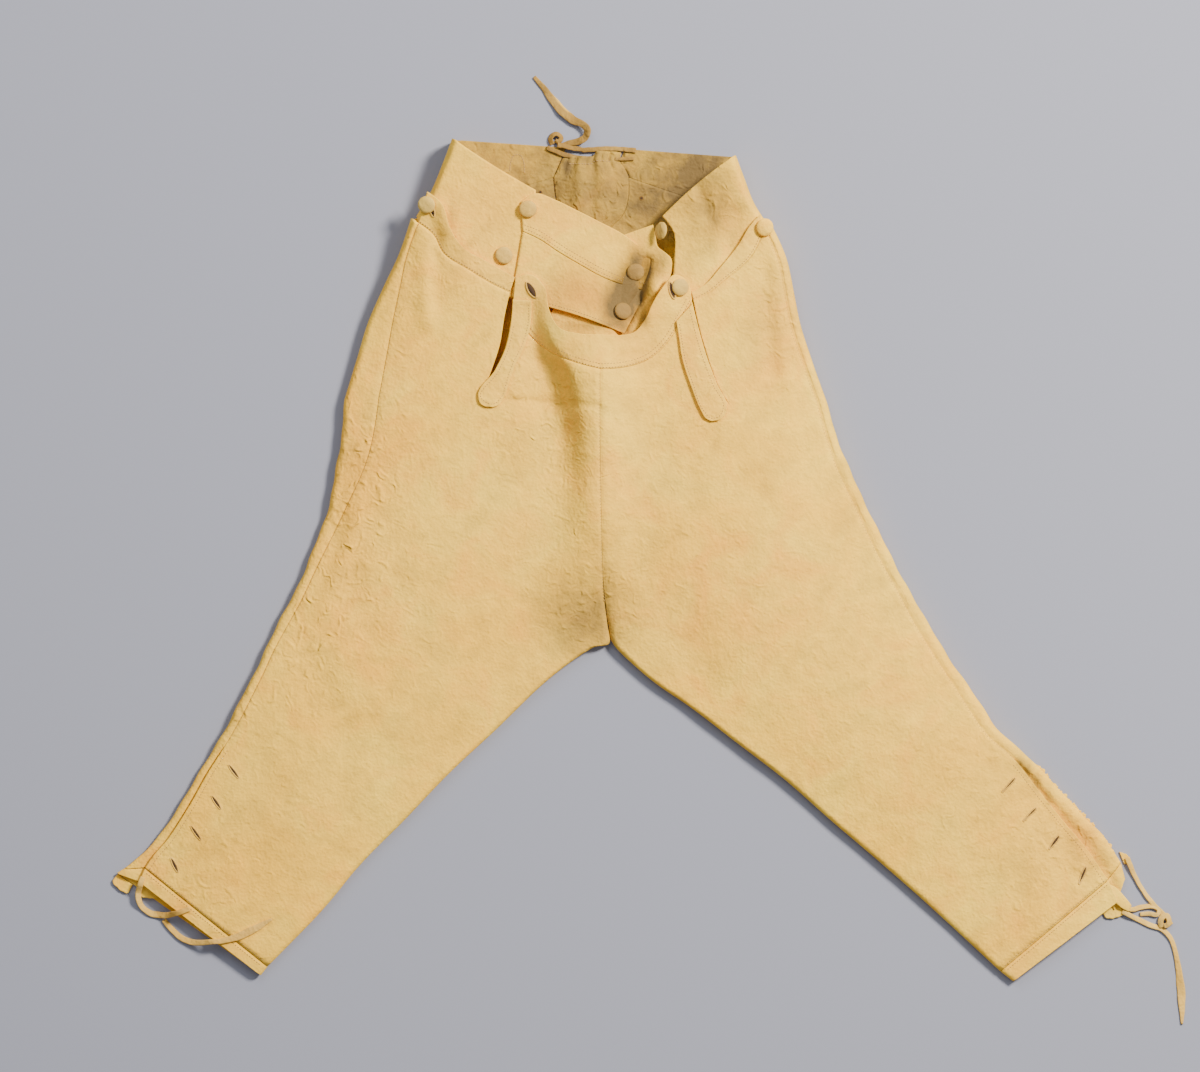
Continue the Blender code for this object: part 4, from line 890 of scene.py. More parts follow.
def back_rows(outer, seam, inner, turn, lap, sunk, gap=SEAM / 2, hollow=0.0):
    """Rows of the back panel, from the inner edge under and round the outer one."""
    way, _ = unit(inner - outer)
    over, inset = unit(seam - outer)
    rise, edge = turn_of(inner, way, turn)
    # 1: up the turn at the inner edge, seen from below
    end = inner - way * edge[:, None]
    a = TURN[::-1]
    uv1 = end[:, None] - (ROLL * (1 - np.cos(a)))[None, :, None] * way[:, None]
    z1 = FLAT + drop(rise, turn, a)
    z1[:, 0] -= SEAM / 2 * turn
    # 2: flat across the mat, up to where the outer roll starts
    wide = np.minimum(0.72 * inset, 7.0)
    x = dense(48)[1:-1]
    b = outer + way * wide[:, None]
    uv2 = uv1[:, -1:] + x[None, :, None] * (b[:, None] - uv1[:, -1:])
    z2 = np.full(uv2.shape[:2], FLAT)
    # 3: half an ellipse round the outer edge
    hi = height(outer + over * wide[:, None]) - sunk
    ang = np.linspace(0, np.pi, 21)
    mix = (ang / np.pi)[None, :, None]
    d = way[:, None] * (1 - mix) + over[:, None] * mix
    uv3 = outer[:, None] + (wide[:, None] * (1 - np.sin(ang)))[..., None] * d
    z3 = (hi[:, None] + FLAT) / 2 - (hi[:, None] - FLAT) / 2 * np.cos(ang)
    # 4: on to the side seam, or below the vent on under the front
    stop = inset + lap - gap * (lap == 0)
    x = wide[:, None] + (stop - wide)[:, None] * dense(12)[1:]
    uv4 = outer[:, None] + x[..., None] * over[:, None]
    z4 = height(uv4.reshape(-1, 2)).reshape(x.shape) - sunk[:, None]
    z4 += dip(stop[:, None] - x) * (lap == 0)[:, None] * (sunk == 0)[:, None]
    deep = np.clip((x - wide[:, None]) / np.maximum(inset - wide, 1)[:, None], 0, 1)
    z4 -= hollow * (sunk / PLACKET)[:, None] * deep**2 * (3 - 2 * deep)
    uv, z = np.concatenate([uv1, uv2, uv3, uv4], 1), np.concatenate([z1, z2, z3, z4], 1)
    return np.concatenate([uv, z[..., None]], -1)


print("rows of a leg", len(LEG_FINE))

# %% [markdown]
# The two fronts.  A slit on each side of the fall cuts the skin into a side
# part, which ends at the pocket band, and the fall, which ends at its own
# band.  All three grids share their edges, so they weld into one skin.

# %% Fronts
FRONT = {
    True: dict(
        share=6 / 13,
        top_side=[(419, 225), (434, 236), (444, 254), (468, 270), (495, 286), (510, 293)],
        slit_side=[(510, 293), (505, 315), (500, 345), (492, 370), (480.5, 397.2)],
        top_fall=[(513, 306), (522, 326), (536, 342), (552, 353), (574, 363), (600, 370)],
        slit_fall=[(513, 306), (509.5, 330), (505, 349), (495, 371), (480.5, 397.2)],
    ),
    False: dict(
        share=5 / 12,
        top_side=[(764, 231), (750, 258), (725, 280), (706, 295), (693, 301)],
        slit_side=[(693, 301), (700, 333), (708, 360), (717, 385), (727, 405.3)],
        top_fall=[(691.6, 301), (680, 322), (668, 342), (650, 359), (625, 368), (600, 370)],
        slit_fall=[(691.6, 301), (698.6, 333), (706.6, 360), (716, 385), (727, 405.3)],
    ),
}
SIDE, FALL = 30, 40   # columns of the side part and of the fall


def side(left):
    """Sign of a half: 1 on the left, -1 on the right."""
    return 1.0 if left else -1.0


def seat_rows(left, at=SEAT_FINE):
    """Section rows of the seat at row numbers, from the waist down."""
    return between(SEAT_LEFT if left else SEAT_RIGHT, at)


def front(left):
    """Side part, fall part and leg: lines between the seams, bent to the cuts."""
    spec = FRONT[left]
    k = spec["share"]
    shares = np.concatenate([k * dense(SIDE), k + (1 - k) * dense(FALL)[1:]])
    rows = sections(left)
    leg = front_rows(rows[:, 2:4], rows[:, 4:6], rows[:, 9], shares, pulled=VENT[left])
    first, k = leg[0], SIDE
    cut = first[k, :2]
    # the side part, between the side seam and the slit
    t = np.interp(SEAT_FINE, SEAT_AT, np.arange(9) / 8)
    seam = seat_rows(left)[:, 2:4] + np.array([side(left) * SEAM / 2, 0.0])
    seam[-1] = first[0, :2]
    slit = cubic([*spec["slit_side"][:-1], cut], t)
    f = np.linalg.norm(first[:k + 1, :2] - first[0, :2], axis=1)
    f = f / f[-1]
    line = seam[:, None] * (1 - f[:, None]) + slit[:, None] * f[:, None]
    fade = (1 - t)[:, None, None] ** 1.5
    a = line + (cubic([seam[0], *spec["top_side"][1:-1], slit[0]], f) - line[0]) * fade
    # the half of the fall, between the slit and the front seam
    tail = first[k:, :2]
    f = np.linalg.norm(tail - tail[0], axis=1) / np.linalg.norm(tail[-1] - tail[0])
    t = np.linspace(0, 1, 31)
    slit = cubic([*spec["slit_fall"][:-1], cut], t)
    u0 = 600.0 - side(left) * SEAM / 2
    mid = cubic([(u0, 370.0), (u0, 390.0), first[-1, :2]], t)
    line = slit[:, None] * (1 - f[:, None]) + mid[:, None] * f[:, None]
    fade = (1 - t)[:, None, None] ** 1.5
    b = line + (cubic([*spec["top_fall"][:-1], mid[0]], f) - line[0]) * fade
    # heights, with the thread's pull at the seams and the top edges
    a, b = raised(a), raised(b)
    a[..., 2] += dip(np.linalg.norm(a[..., :2] - a[:, :1, :2], axis=2))
    a[..., 2] += dip(np.linalg.norm(a[..., :2] - a[:1, :, :2], axis=2))
    b[..., 2] += dip(np.linalg.norm(b[..., :2] - b[:, -1:, :2], axis=2))
    b[..., 2] += dip(np.linalg.norm(b[..., :2] - b[:1, :, :2], axis=2))
    a[-1], b[-1] = first[:k + 1], first[k:]
    return [a, b, leg]


FRONT_GRIDS = {left: front(left) for left in (True, False)}
front_left = wall("front_left_skin", FRONT_GRIDS[True], stands_for=["front_left"])
front_right = wall("front_right_skin", FRONT_GRIDS[False], stands_for=["front_right"])
print("fronts", round(surface_of(front_left), 3), round(surface_of(front_right), 3), "m2")

# %% [markdown]
# The two backs lie flat on the mat, turn up at the outer edge and reach the
# side seam on the front.  Below the vent they run on under the front's edge,
# as the placket that the knee buttons sit on.

# %% Backs


def back(left):
    """Seat and leg rows in one grid, with the placket sunk below the vent."""
    seat = seat_rows(left)[:-1]
    leg = sections(left)
    at = np.r_[np.zeros(len(seat)), LEG_FINE]
    turn = np.r_[np.zeros(len(seat)), leg[:, 9]]
    plan = np.concatenate([seat[:, :6], leg[:, :6]])
    sunk = PLACKET * np.clip((at - VENT[left]) / 0.5, 0, 1)
    lap = LAP * np.clip(at - VENT[left] - 0.6, 0, 1)
    return back_rows(plan[:, :2], plan[:, 2:4], plan[:, 4:6], turn, lap, sunk,
                     hollow=HOLLOW[left])


back_left = wall("back_left_skin", [back(True)], stands_for=["back_left"])
back_right = wall("back_right_skin", [back(False)], stands_for=["back_right"])
print("backs", round(surface_of(back_left), 3), round(surface_of(back_right), 3), "m2")

# %% [markdown]
# The hem band binds the knee all round, from one edge of the vent to the
# other.  It is a strip of the same leather, sewn on with two rows of stitches.

# %% Hem bands


def hem(left):
    """Rows from the hem seam to the edge, each round the whole knee."""
    a = np.array((LEG_LEFT if left else LEG_RIGHT)[-1][:6], float)
    b = np.array(HEM_LEFT if left else HEM_RIGHT, float)
    t = dense(12)[:, None]
    r = a + (b - a) * (0.03 + 0.97 * t)
    one = np.ones(len(r))
    f = front_rows(r[:, 2:4], r[:, 4:6], one, dense(60), gap=0.0)
    k = back_rows(r[:, :2], r[:, 2:4], r[:, 4:6], one, LAP * one, PLACKET * one,
                  hollow=HOLLOW[left])
    f[:, -1] = k[:, 0] = (f[:, -1] + k[:, 0]) / 2
    g = np.concatenate([f, k[:, 1:]], 1)
    pull = dip(np.linalg.norm(g[..., :2] - g[:1, :, :2], axis=2))
    g[..., 2] += np.where(g[..., 2] > 4, 1.0, 0.0) * pull
    return g


hem_left = wall("hem_left_band", [hem(True)], band_skin, stands_for=["hem_band_left"])
hem_right = wall("hem_right_band", [hem(False)], band_skin, stands_for=["hem_band_right"])
print("hem bands", round(surface_of(hem_left), 4), round(surface_of(hem_right), 4), "m2")

# %% [markdown]
# The waistbands.  Each runs from the back lace round the side, folds over at
# the hip and comes to the front, where it tapers under the fall.  A row goes
# across that path: flat on the mat, round the fold, along a bowed front line.

# %% Waistbands
WAIST = {
    True: dict(fold=[(453, 139.5), (443, 166), (432, 192), (417, 217)],
               back=[(566, 147), (553.2, 176.9)], front=[(536, 191), (534, 303)],
               bow=[(492, 167), (436, 286)], into=[(1, 0.03), (0.97, -0.2)]),
    False: dict(fold=[(735, 156), (744, 180), (753, 203), (766, 223.4)],
                back=[(625, 148.4), (621.8, 156.5), (620.4, 163), (626, 170), (629.4, 176.9)],
                front=[(662, 217), (673, 232), (674, 262), (669, 306)],
                bow=[(694, 184), (742, 292)], into=[(-1, -0.02), (-0.98, -0.18)]),
}


def waistband(left):
    """Back line, half ellipse round the fold, then a quadratic front line."""
    w, t = WAIST[left], dense(36, 0.05)
    fold, end_b, end_f = (cubic(w[k], t) for k in ("fold", "back", "front"))
    bow, into = cubic(w["bow"], t), unit(cubic(w["into"], t))[0]
    ahead, wide = unit(bow - fold)[0], 8.0
    # 1: flat on the mat, from the lace to the fold
    x = np.linspace(0, 1, 30)[None, :-1, None]
    uv1 = end_b[:, None] + x * (fold + into * wide - end_b)[:, None]
    z1 = np.full(uv1.shape[:2], FLAT)
    # 2: round the fold, up to two layers under the front leather
    hi = height(fold + ahead * wide) - 2 * LAYER
    ang = np.linspace(0, np.pi, 25)
    mix = (ang / np.pi)[None, :, None]
    way = into[:, None] * (1 - mix) + ahead[:, None] * mix
    uv2 = fold[:, None] + wide * (1 - np.sin(ang))[None, :, None] * way
    z2 = (hi[:, None] + FLAT) / 2 - (hi[:, None] - FLAT) / 2 * np.cos(ang)
    # 3: along the front
    s = fold + ahead * wide
    x = np.linspace(0, 1, 46)[None, 1:, None]
    uv3 = (1 - x) ** 2 * s[:, None] + 2 * x * (1 - x) * bow[:, None] + x**2 * end_f[:, None]
    z3 = height(uv3.reshape(-1, 2)).reshape(uv3.shape[:2]) - 2 * LAYER
    uv, z = np.concatenate([uv1, uv2, uv3], 1), np.concatenate([z1, z2, z3], 1)
    return np.concatenate([uv, z[..., None]], -1)


waist_left = wall("waist_left_band", [waistband(True)], stands_for=["waistband_left"])
waist_right = wall("waist_right_band", [waistband(False)], stands_for=["waistband_right"])
print("waistbands", round(surface_of(waist_left), 4), round(surface_of(waist_right), 4), "m2")

# %% [markdown]
# Narrow bands and strips.  The pocket bands and the band of the fall are sewn
# to the edge of the skin below them, so they start from that very edge.  The
# strips cover the ends of the slits, and the bearers lie under the fall.

# %% Bands


def joined(name, row, edge, rows, node, lift=None):
    """Band from a panel's own edge row out to the plan curve `edge`."""
    share = np.r_[0, np.cumsum(np.linalg.norm(np.diff(row[:, :2], axis=0), axis=1))]
    e = cubic(edge, share / share[-1])
    out, _ = unit(e - row[:, :2])
    t = dense(rows)[:, None, None]
    start = row[:, :2] + out * 1.4 * SEAM
    g = raised(start[None] * (1 - t) + e[None] * t)
    g[..., 2] += (row[:, 2] - raised(row[:, :2])[:, 2])[None] * (1 - t[..., 0]) ** 6
    if lift is not None:
        g[..., 2] += lift * t[..., 0] ** 2 * np.sin(np.pi * share / share[-1])
    return wall(name, [g], band_skin, stands_for=[node])


def band(name, seam, edge, columns, rows, node, layer=0.0, material=band_skin):
    """Strip between two plan curves, seam (1 - t) + edge t, a number of layers up."""
    s, e = (cubic(curve, np.linspace(0, 1, columns)) for curve in (seam, edge))
    t = dense(rows)[:, None, None]
    grid = raised(s[None] * (1 - t) + e[None] * t, layer)
    return wall(name, [grid], material, stands_for=[node])


pocket_left = joined("pocket_left_band", FRONT_GRIDS[True][0][0],
                     [(428, 193), (441, 203), (452, 232), (463, 248), (487, 262), (515, 278)],
                     12, "pocket_band_left")
pocket_right = joined("pocket_right_band", FRONT_GRIDS[False][0][0],
                      [(760, 215), (750, 226), (738, 246), (721, 267), (705, 285), (691, 293)],
                      12, "pocket_band_right")
cf = (FRONT_GRIDS[True][1][0][-1:] + FRONT_GRIDS[False][1][0][-1:]) / 2
mouth = np.concatenate([FRONT_GRIDS[True][1][0][:-3], cf, FRONT_GRIDS[False][1][0][:-3][::-1]])
fall_band = joined("fall_mouth_band", mouth,
                   [(515.5, 279), (531, 275), (545, 288), (549, 310), (560, 329), (578, 334.5),
                    (600, 335.5), (621, 336), (634, 333), (645, 320), (653, 303), (664, 286),
                    (673, 276), (689, 282)], 14, "fall_band", 2.0)
strip_left = band("slit_strip_left",
                  [(513.0, 300), (510.4, 328), (505.6, 349), (495.6, 370), (478.4, 397),
                   (480, 403), (486, 407)],
                  [(531.5, 301), (530, 328), (524, 348), (515, 366), (510, 381), (503.6, 399),
                   (500, 404.5), (493, 407.5)], 70, 10, "fall_strip_left", 1.2)
strip_right = band("slit_strip_right",
                   [(692.2, 304), (699.4, 333), (707.4, 360), (717, 385), (726.6, 407),
                    (725, 414.5), (718.5, 420.5)],
                   [(676, 322), (678, 334), (682, 360), (690, 385), (700.5, 411), (704.5, 418),
                    (711.5, 421.5)], 60, 10, "fall_strip_right", 1.2)
bearer_band = band("bearer_top_band",
                   [(523, 232), (540, 240), (558, 252), (580, 265), (604, 278), (646.5, 291)],
                   [(521, 203), (535, 194.5), (556, 201), (577, 211), (600, 222.5), (622, 234),
                    (651, 256)], 60, 14, "bearer_band_left", -1.0)
bearer_left = band("bearer_left_skin",
                   [(512, 297), (551, 308), (575, 315), (597, 323), (624, 334)],
                   [(523, 232.5), (540, 240.5), (558, 252.5), (580, 265.5), (604, 278.5),
                    (646.4, 291.5)], 60, 24, "bearer_left", -1.0,
                   buckskin)


def panel(name, left_edge, right_edge, columns, rows, layer, node):
    """Skin between a left and a right plan curve."""
    t, f = np.linspace(0, 1, rows), np.linspace(0, 1, columns)[None, :, None]
    a, b = cubic(left_edge, t)[:, None], cubic(right_edge, t)[:, None]
    return wall(name, [raised(a * (1 - f) + b * f, layer)], stands_for=[node])


bearer_right = panel("bearer_right_skin",
                     [(604, 242), (586, 276), (560, 300), (545, 325), (540, 352)],
                     [(653, 225), (655.5, 236), (658, 247), (664, 252), (671, 259), (671.5, 270),
                      (665, 288), (651, 312), (634, 350)], 48, 90, -3.0, "bearer_right")
print("bands and bearers done")

# %% [markdown]
# The gusset is the wedge of leather behind the lace.  Its top edge is gathered
# on a thread, so its puff runs out into small pleats there.

# %% Gusset


def gusset(puff=8.0, columns=61):
    """Puffed wedge, z = puff * across (parabola) * along (sine) * pleats."""
    at = np.linspace(0, 3, 37)
    a, b = (seat_rows(left, at)[:, 4:6] for left in (True, False))
    a = np.r_[cubic([(563.4, 155.5), (559.4, 163.6), (556.2, 171), a[0]],
                    np.linspace(0, 1, 12))[:-1], a]
    b = np.r_[cubic([(621.8, 156.5), (620.4, 163.2), (625.8, 170.2), b[0]],
                    np.linspace(0, 1, 12))[:-1], b]
    f = np.linspace(0, 1, columns)
    inset = np.minimum(0.65, 0.2 * (b - a)[:, 0])
    a, b = a + np.c_[inset, 0 * inset], b - np.c_[inset, 0 * inset]
    uv = a[:, None] * (1 - f[None, :, None]) + b[:, None] * f[None, :, None]
    high = np.clip((f - 0.5) * 12, 0, 1) * np.clip((1.06 - f) * 12, 0, 1)
    uv[:12, :, 1] -= 5.5 * high[None] * np.linspace(1, 0, 12)[:, None]
    wide = np.minimum(1, (b - a)[:, 0] / 60)[:, None]
    t = np.linspace(0, 1, len(a))[:, None]
    wave = 1 + 0.25 * np.cos(2 * np.pi * 3 * f)[None] * (1 - t)
    z = FLAT + puff * wide**1.5 * 4 * (f * (1 - f))[None] * np.sin(np.pi * (0.2 + 0.8 * t)) * wave
    pleat = np.exp(-((t * 105 - 4) / 14) ** 2)
    pleat = pleat * np.sin(2 * np.pi * 7 * f + 0.8 * np.sin(9 * f))[None]
    z = z + 0.9 * pleat * np.minimum(1, 9 * f * (1 - f))[None]
    return np.concatenate([uv, z[..., None]], -1)


back_gusset = wall("gusset_skin", [gusset()], stands_for=["back_gusset"])
print("gusset", round(surface_of(back_gusset), 4), "m2")

# %% [markdown]
# Leather-covered buttons.  A wooden or horn mould is wrapped in a disc of
# leather that is drawn together underneath, so the face is a low dome with a
# soft rolled edge and faint tucks near it.

# %% Buttons


def slope(u, v, layer):
    """Unit normal of the front leather in the frame."""
    e = 4.0
    h = raised([(u + e, v), (u - e, v), (u, v + e), (u, v - e)], layer)[:, 2]
    n = np.array([-(h[0] - h[1]) / (2 * e), (h[2] - h[3]) / (2 * e), 1.0])
    return n / np.linalg.norm(n)


# height in mm and share of the radius, from the middle of the underside to the top
PROFILE = np.array([
    (0.0, 0.0), (0.0, 0.45), (0.0, 0.72), (0.35, 0.88), (0.95, 0.975), (1.5, 1.0), (2.05, 0.985),
    (2.7, 0.94), (3.25, 0.86), (3.7, 0.75), (4.05, 0.60), (4.3, 0.42), (4.45, 0.22), (4.5, 0.0)])


def button(name, u, v, layer, node, lean=None, lift=0.0, material=button_skin):
    """Dome on a rolled edge: rings of a profile, with tucks that fade inwards."""
    n = slope(u, v, layer) if lean is None else np.array(lean, float) / np.linalg.norm(lean)
    x = np.cross([0, 1, 0], n)
    x /= np.linalg.norm(x)
    y = np.cross(n, x)
    seat = place(raised([(u, v)], layer))[0] + n * (WALL / 2 + SEAM + 0.2) / 1000
    seat = seat + np.array([0, 0, lift / 1000])
    k = 48
    a = np.arange(k) * 2 * np.pi / k
    high, out = PROFILE[:, :1], PROFILE[:, 1:]
    fade = np.exp(-((high - 1.2) / 1.2) ** 2)
    tuck = 1 + 0.012 * np.cos(11 * a + 0.5 * np.sin(3 * a))[None] * fade
    r = BUTTON_R * out * tuck * (1 + 0.02 * np.cos(2 * a + u))[None]
    z = high + 0.18 * out * (1 - out) * 4 * np.cos(a * 2 + v)[None] * (high > 2)
    spoke = x * np.cos(a)[:, None] + y * np.sin(a)[:, None]
    pts = seat + (spoke[None] * r[..., None] + n * z[..., None]) / 1000
    quads = grid_quads(len(PROFILE), k, tube=True)
    obj = skin(name, pts.reshape(-1, 3), quads, material)
    mesh_close(obj)
    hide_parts(node)
    return obj


def mesh_close(obj):
    """Merges the points of a pole into one."""
    bm = bmesh.new()
    bm.from_mesh(obj.data)
    bmesh.ops.remove_doubles(bm, verts=bm.verts, dist=1e-6)
    bm.to_mesh(obj.data)
    bm.free()


BUTTONS = {
    "button_waist_tongue": (528, 210, -1), "button_waist_left": (504, 256, -2),
    "button_bearer_upper": (635, 272, -1), "button_bearer_lower": (622, 312, -1),
    "button_waist_right": (663, 232, -2), "button_fall_right": (679, 288, 0),
    "button_pocket_left": (428, 206, 0), "button_pocket_right": (764, 228, 0),
}
# one leans against the bearer, and one shows only through the skin of its tab
MORE = {"button_waist_right": dict(lean=(-0.72, 0.1, 0.62), lift=6.0),
        "button_pocket_right": dict(material=band_skin)}
buttons = {node: button("covered_" + node, *where, node, **MORE.get(node, {}))
           for node, where in BUTTONS.items()}
print("buttons", len(buttons))

# %% [markdown]
# Small leaves at the knees: the ends of the facings that stick out below the
# hem, cut from the same leather.

# %% Leaves


def leaf(name, corners, z, node, curl=0.0):
    """Four-cornered leaf with a wavy edge, lifted by curl at its far side."""
    a, b, c, d = (np.array(p, float) for p in corners)
    t, f = np.linspace(0, 1, 14)[:, None, None], np.linspace(0, 1, 14)[None, :, None]
    t = t * (1 - 0.24 * (2 * f - 1) ** 4)
    uv = (a * (1 - f) + b * f) * (1 - t) + (d * (1 - f) + c * f) * t
    uv = uv + 0.35 * np.sin(uv[..., ::-1] * 1.1 + (0.3, 1.7)) * t
    lift = z + curl * t[..., 0] ** 2
    grid = np.concatenate([uv, lift[..., None]], -1)
    return wall(name, [grid], band_skin, stands_for=[node])


leaves = [
    leaf("leaf_left_tab", [(146, 881), (163, 894), (159, 900), (135, 897)], 3.2, "knee_tab_left"),
    leaf("leaf_right_tab", [(1099.4, 907.1), (1114.4, 899.1), (1128, 915), (1108, 921)], 1.1,
         "knee_tab_right", 0.8),
    leaf("leaf_left", [(117.0, 874.4), (131.9, 885.4), (126, 896), (110, 883)], 1.1,
         "knee_leaf_left", 0.8),
    leaf("leaf_right", [(1120.2, 852.4), (1125.2, 864.4), (1130, 864), (1129, 855)], 1.1,
         "knee_leaf_right", 0.5),
]
# the end of the vent's facing sticks out past the hem as a small tongue
share, along = np.linspace(0, 1, 10)[:, None, None], np.linspace(0, 1, 16)
upper = cubic([(1107, 884), (1114, 886.5), (1125, 897), (1132, 906)], along)
lower = cubic([(1109, 901), (1115, 903), (1123, 909), (1129, 912)], along)
facing = upper[None] * (1 - share) + lower[None] * share
rise = np.linspace(8.6, 3.4, 16)[None, :, None] + 0.5 * np.sin(3 * share)
facing_end = wall("leaf_right_facing", [np.concatenate([facing, rise], -1)], band_skin)
leaves.append(facing_end)


def frayed(name, line, n=200):
    """Torn edge: a thin strip whose outer side is ragged by three sines."""
    t = np.linspace(0, 1, n)
    p = cubic(line, t)[:, :2]
    d = unit(np.gradient(p, axis=0))[0]
    out = np.c_[d[:, 1], -d[:, 0]]
    s = t * np.linalg.norm(np.diff(p, axis=0), axis=1).sum()
    rag = (2.3 + 1.2 * np.sin(s * 0.7) * np.sin(s * 0.23 + 1)
           + 0.7 * np.sin(s * 1.5 + 2 * np.sin(s * 0.37)) + 2.4 * np.exp(-((s - 6) / 5) ** 2))
    rag = np.maximum(rag, 0.4) * np.minimum(1, np.minimum(t, 1 - t) * 12 + 0.15)
    f = np.linspace(-1.6, 1, 7)
    f = f[:, None]
    uv = p[None] + out[None] * np.where(f > 0, f * rag[None], f * 1.4)[..., None]
    z = ((height(p) - PLACKET + WALL / 2 + 0.1)[None] * 0.62
         + 0.5 * np.sin(s * 1.3)[None] + f * 0.4)
    return wall(name, [np.concatenate([uv, z[..., None]], -1)], band_skin, thick=0.7)


fray = frayed("vent_torn_edge",
              [(1036, 765), (1049, 781), (1066, 799), (1079, 812), (1102, 838), (1117, 858)])
leaves.append(fray)
print("leaves", len(leaves))

# %% [markdown]
# Stitches.  Hand-sewn seams show as short grains of thread, 3 mm from one to
# the next.  Each is the same small capsule, turned along its seam and set
# half into the leather; all stitches of one seam are one mesh.

# %% Stitches


def stitch_rows(name, lines, pitch=3.0, long=1.9, thick=0.42, layer=0.0, up=0.02):
    """Capsules along plan lines on the front leather, a number of layers up."""
    centres, ways = [], []
    for line in lines:
        fine = cubic(line, np.linspace(0, 1, 400))
        s = np.r_[0, np.cumsum(np.linalg.norm(np.diff(fine[:, :2], axis=0), axis=1))]
        at = np.arange(pitch / 2, s[-1], pitch)
        c = np.stack([np.interp(at, s, fine[:, k]) for k in range(2)], -1)
        c2 = np.stack([np.interp(at + 0.5, s, fine[:, k]) for k in range(2)], -1)
        w = raised(c2, layer) - raised(c, layer)
        centres.append(raised(c, layer) + (0, 0, WALL / 2 + up))
        ways.append(unit(w)[0])
    return stitches(name, np.concatenate(centres), np.concatenate(ways), long, thick)


def stitches(name, c, way, long, thick):
    """Capsule rings at -1, -0.6, 0.6, 1 of half the length, six points round."""
    c, way = place(c), way * (1, -1, 1)
    flat = unit(np.cross(way, [0, 0, 1.0]))[0]
    top = np.cross(flat, way)
    s = np.array([(-1, 0.25), (-0.6, 1), (0.6, 1), (1, 0.25)])
    a = np.arange(6) * np.pi / 3
    circle = flat[:, None] * np.cos(a)[:, None] + top[:, None] * np.sin(a)[:, None]
    ring = (way[:, None, None] * (s[:, :1] * long / 2000)[:, None]
            + circle[:, None] * (s[:, 1:] * thick / 1000)[:, None])
    pts = (c[:, None, None] + ring).reshape(-1, 3)
    one = grid_quads(4, 6, tube=True)
    caps = np.array([(0, 1, 2, 3), (3, 4, 5, 0), (21, 20, 19, 18), (18, 23, 22, 21)])[:, ::-1]
    one = np.concatenate([one, caps])
    faces = (one[None] + 24 * np.arange(len(c))[:, None, None]).reshape(-1, 4)
    return skin(name, pts, faces, linen, tone=False)


def beside(line, off, n=24):
    """Plan line shifted sideways by `off` mm."""
    p = cubic(line, np.linspace(0, 1, n))[:, :2]
    d = unit(np.gradient(p, axis=0))[0]
    return p + np.c_[-d[:, 1], d[:, 0]] * off


def side_seam(left, at):
    """Plan points of the side seam at row numbers of the leg."""
    return sections(left, at)[:, 2:4]


seat_line = {left: seat_rows(left, np.linspace(0, 5, 20))[:, 2:4] for left in (True, False)}
outseam = {left: np.r_[seat_line[left][:-1], side_seam(left, np.linspace(0, VENT[left], 60))]
           for left in (True, False)}
stitched = [
    stitch_rows("stitches_side_left", [outseam[True] + (0.9, 0)], 3.2, 1.6, 0.3, 0, -0.75),
    stitch_rows("stitches_side_right", [outseam[False] - (0.9, 0)], 3.2, 1.6, 0.3, 0, -0.75),
    stitch_rows("stitches_front_seam",
                [[(599.2, 374), (599.2, 410), (599.8, 465), (600.8, 520), (602.3, 575),
                  (604.6, 603)]],
                3.0, 1.6, 0.3, 0, -0.75),
    stitch_rows("stitches_mouth", [beside(mouth[:, :2], -1.6, 60), beside(mouth[:, :2], -5.4, 60)],
                3.0, 1.7, 0.34, 0, -0.15),
    stitch_rows("stitches_pocket_left", [beside(FRONT_GRIDS[True][0][0][:, :2], -1.8, 30)],
                3.0, 1.7, 0.34, 0, -0.2),
    stitch_rows("stitches_pocket_right", [beside(FRONT_GRIDS[False][0][0][:, :2], 1.8, 30)],
                3.0, 1.7, 0.34, 0, -0.2),
    stitch_rows("stitches_strip_left",
                [[(514, 326), (508.4, 350), (498.6, 372), (482, 399), (487, 403), (495, 404),
                  (500.5, 399), (507.5, 380), (512.6, 365), (521.4, 347), (527.6, 328),
                  (529, 305)]],
                2.8, 1.6, 0.34, 1.2),
    stitch_rows("stitches_strip_right",
                [[(679, 324), (681, 336), (685, 360), (693, 385), (703.5, 411), (711, 418.5),
                  (719.5, 416), (723, 407), (712.5, 385), (703, 360), (695, 333), (689, 308)]],
                2.8, 1.6, 0.34, 1.2),
    stitch_rows("stitches_tongue",
                [[(525, 229.5), (541, 237), (559, 249), (581, 262), (605, 275), (645, 288)],
                 [(524, 225.5), (542, 233), (560, 245), (582, 258), (606, 271), (646, 284)]],
                3.0, 1.7, 0.34, -1.0),
    stitch_rows("stitches_tongue_foot",
                [[(514, 294.5), (552, 305), (576, 312), (598, 320), (622, 330)]],
                3.0, 1.7, 0.34, -1.0),
]
gathers = gusset()
mark = cubic([(509.5, 169), (511, 160), (513.5, 155), (520.5, 155), (523, 160), (524, 171)],
             np.linspace(0, 1, 16))
stitched += [
    stitches("stitches_gathers", gathers[4, 10:50:3] + (0, 0, WALL / 2 + 0.1),
             np.tile([0.99, 0.12, 0.0], (14, 1)), 2.6, 0.5),
    stitches("stitches_mark", np.c_[mark, np.full(16, FLAT + WALL / 2)],
             unit(np.c_[np.gradient(mark, axis=0), np.zeros(16)])[0], 2.6, 0.4),
]
print("rows of stitches", len(stitched))

# %% [markdown]
# Stitches at the knee: the facing along the front edge of the vent, and two
# rows along the hem seam.

# %% Stitches at the knees
vent = {left: side_seam(left, np.linspace(VENT[left] + 0.2, 15, 30)) for left in (True, False)}


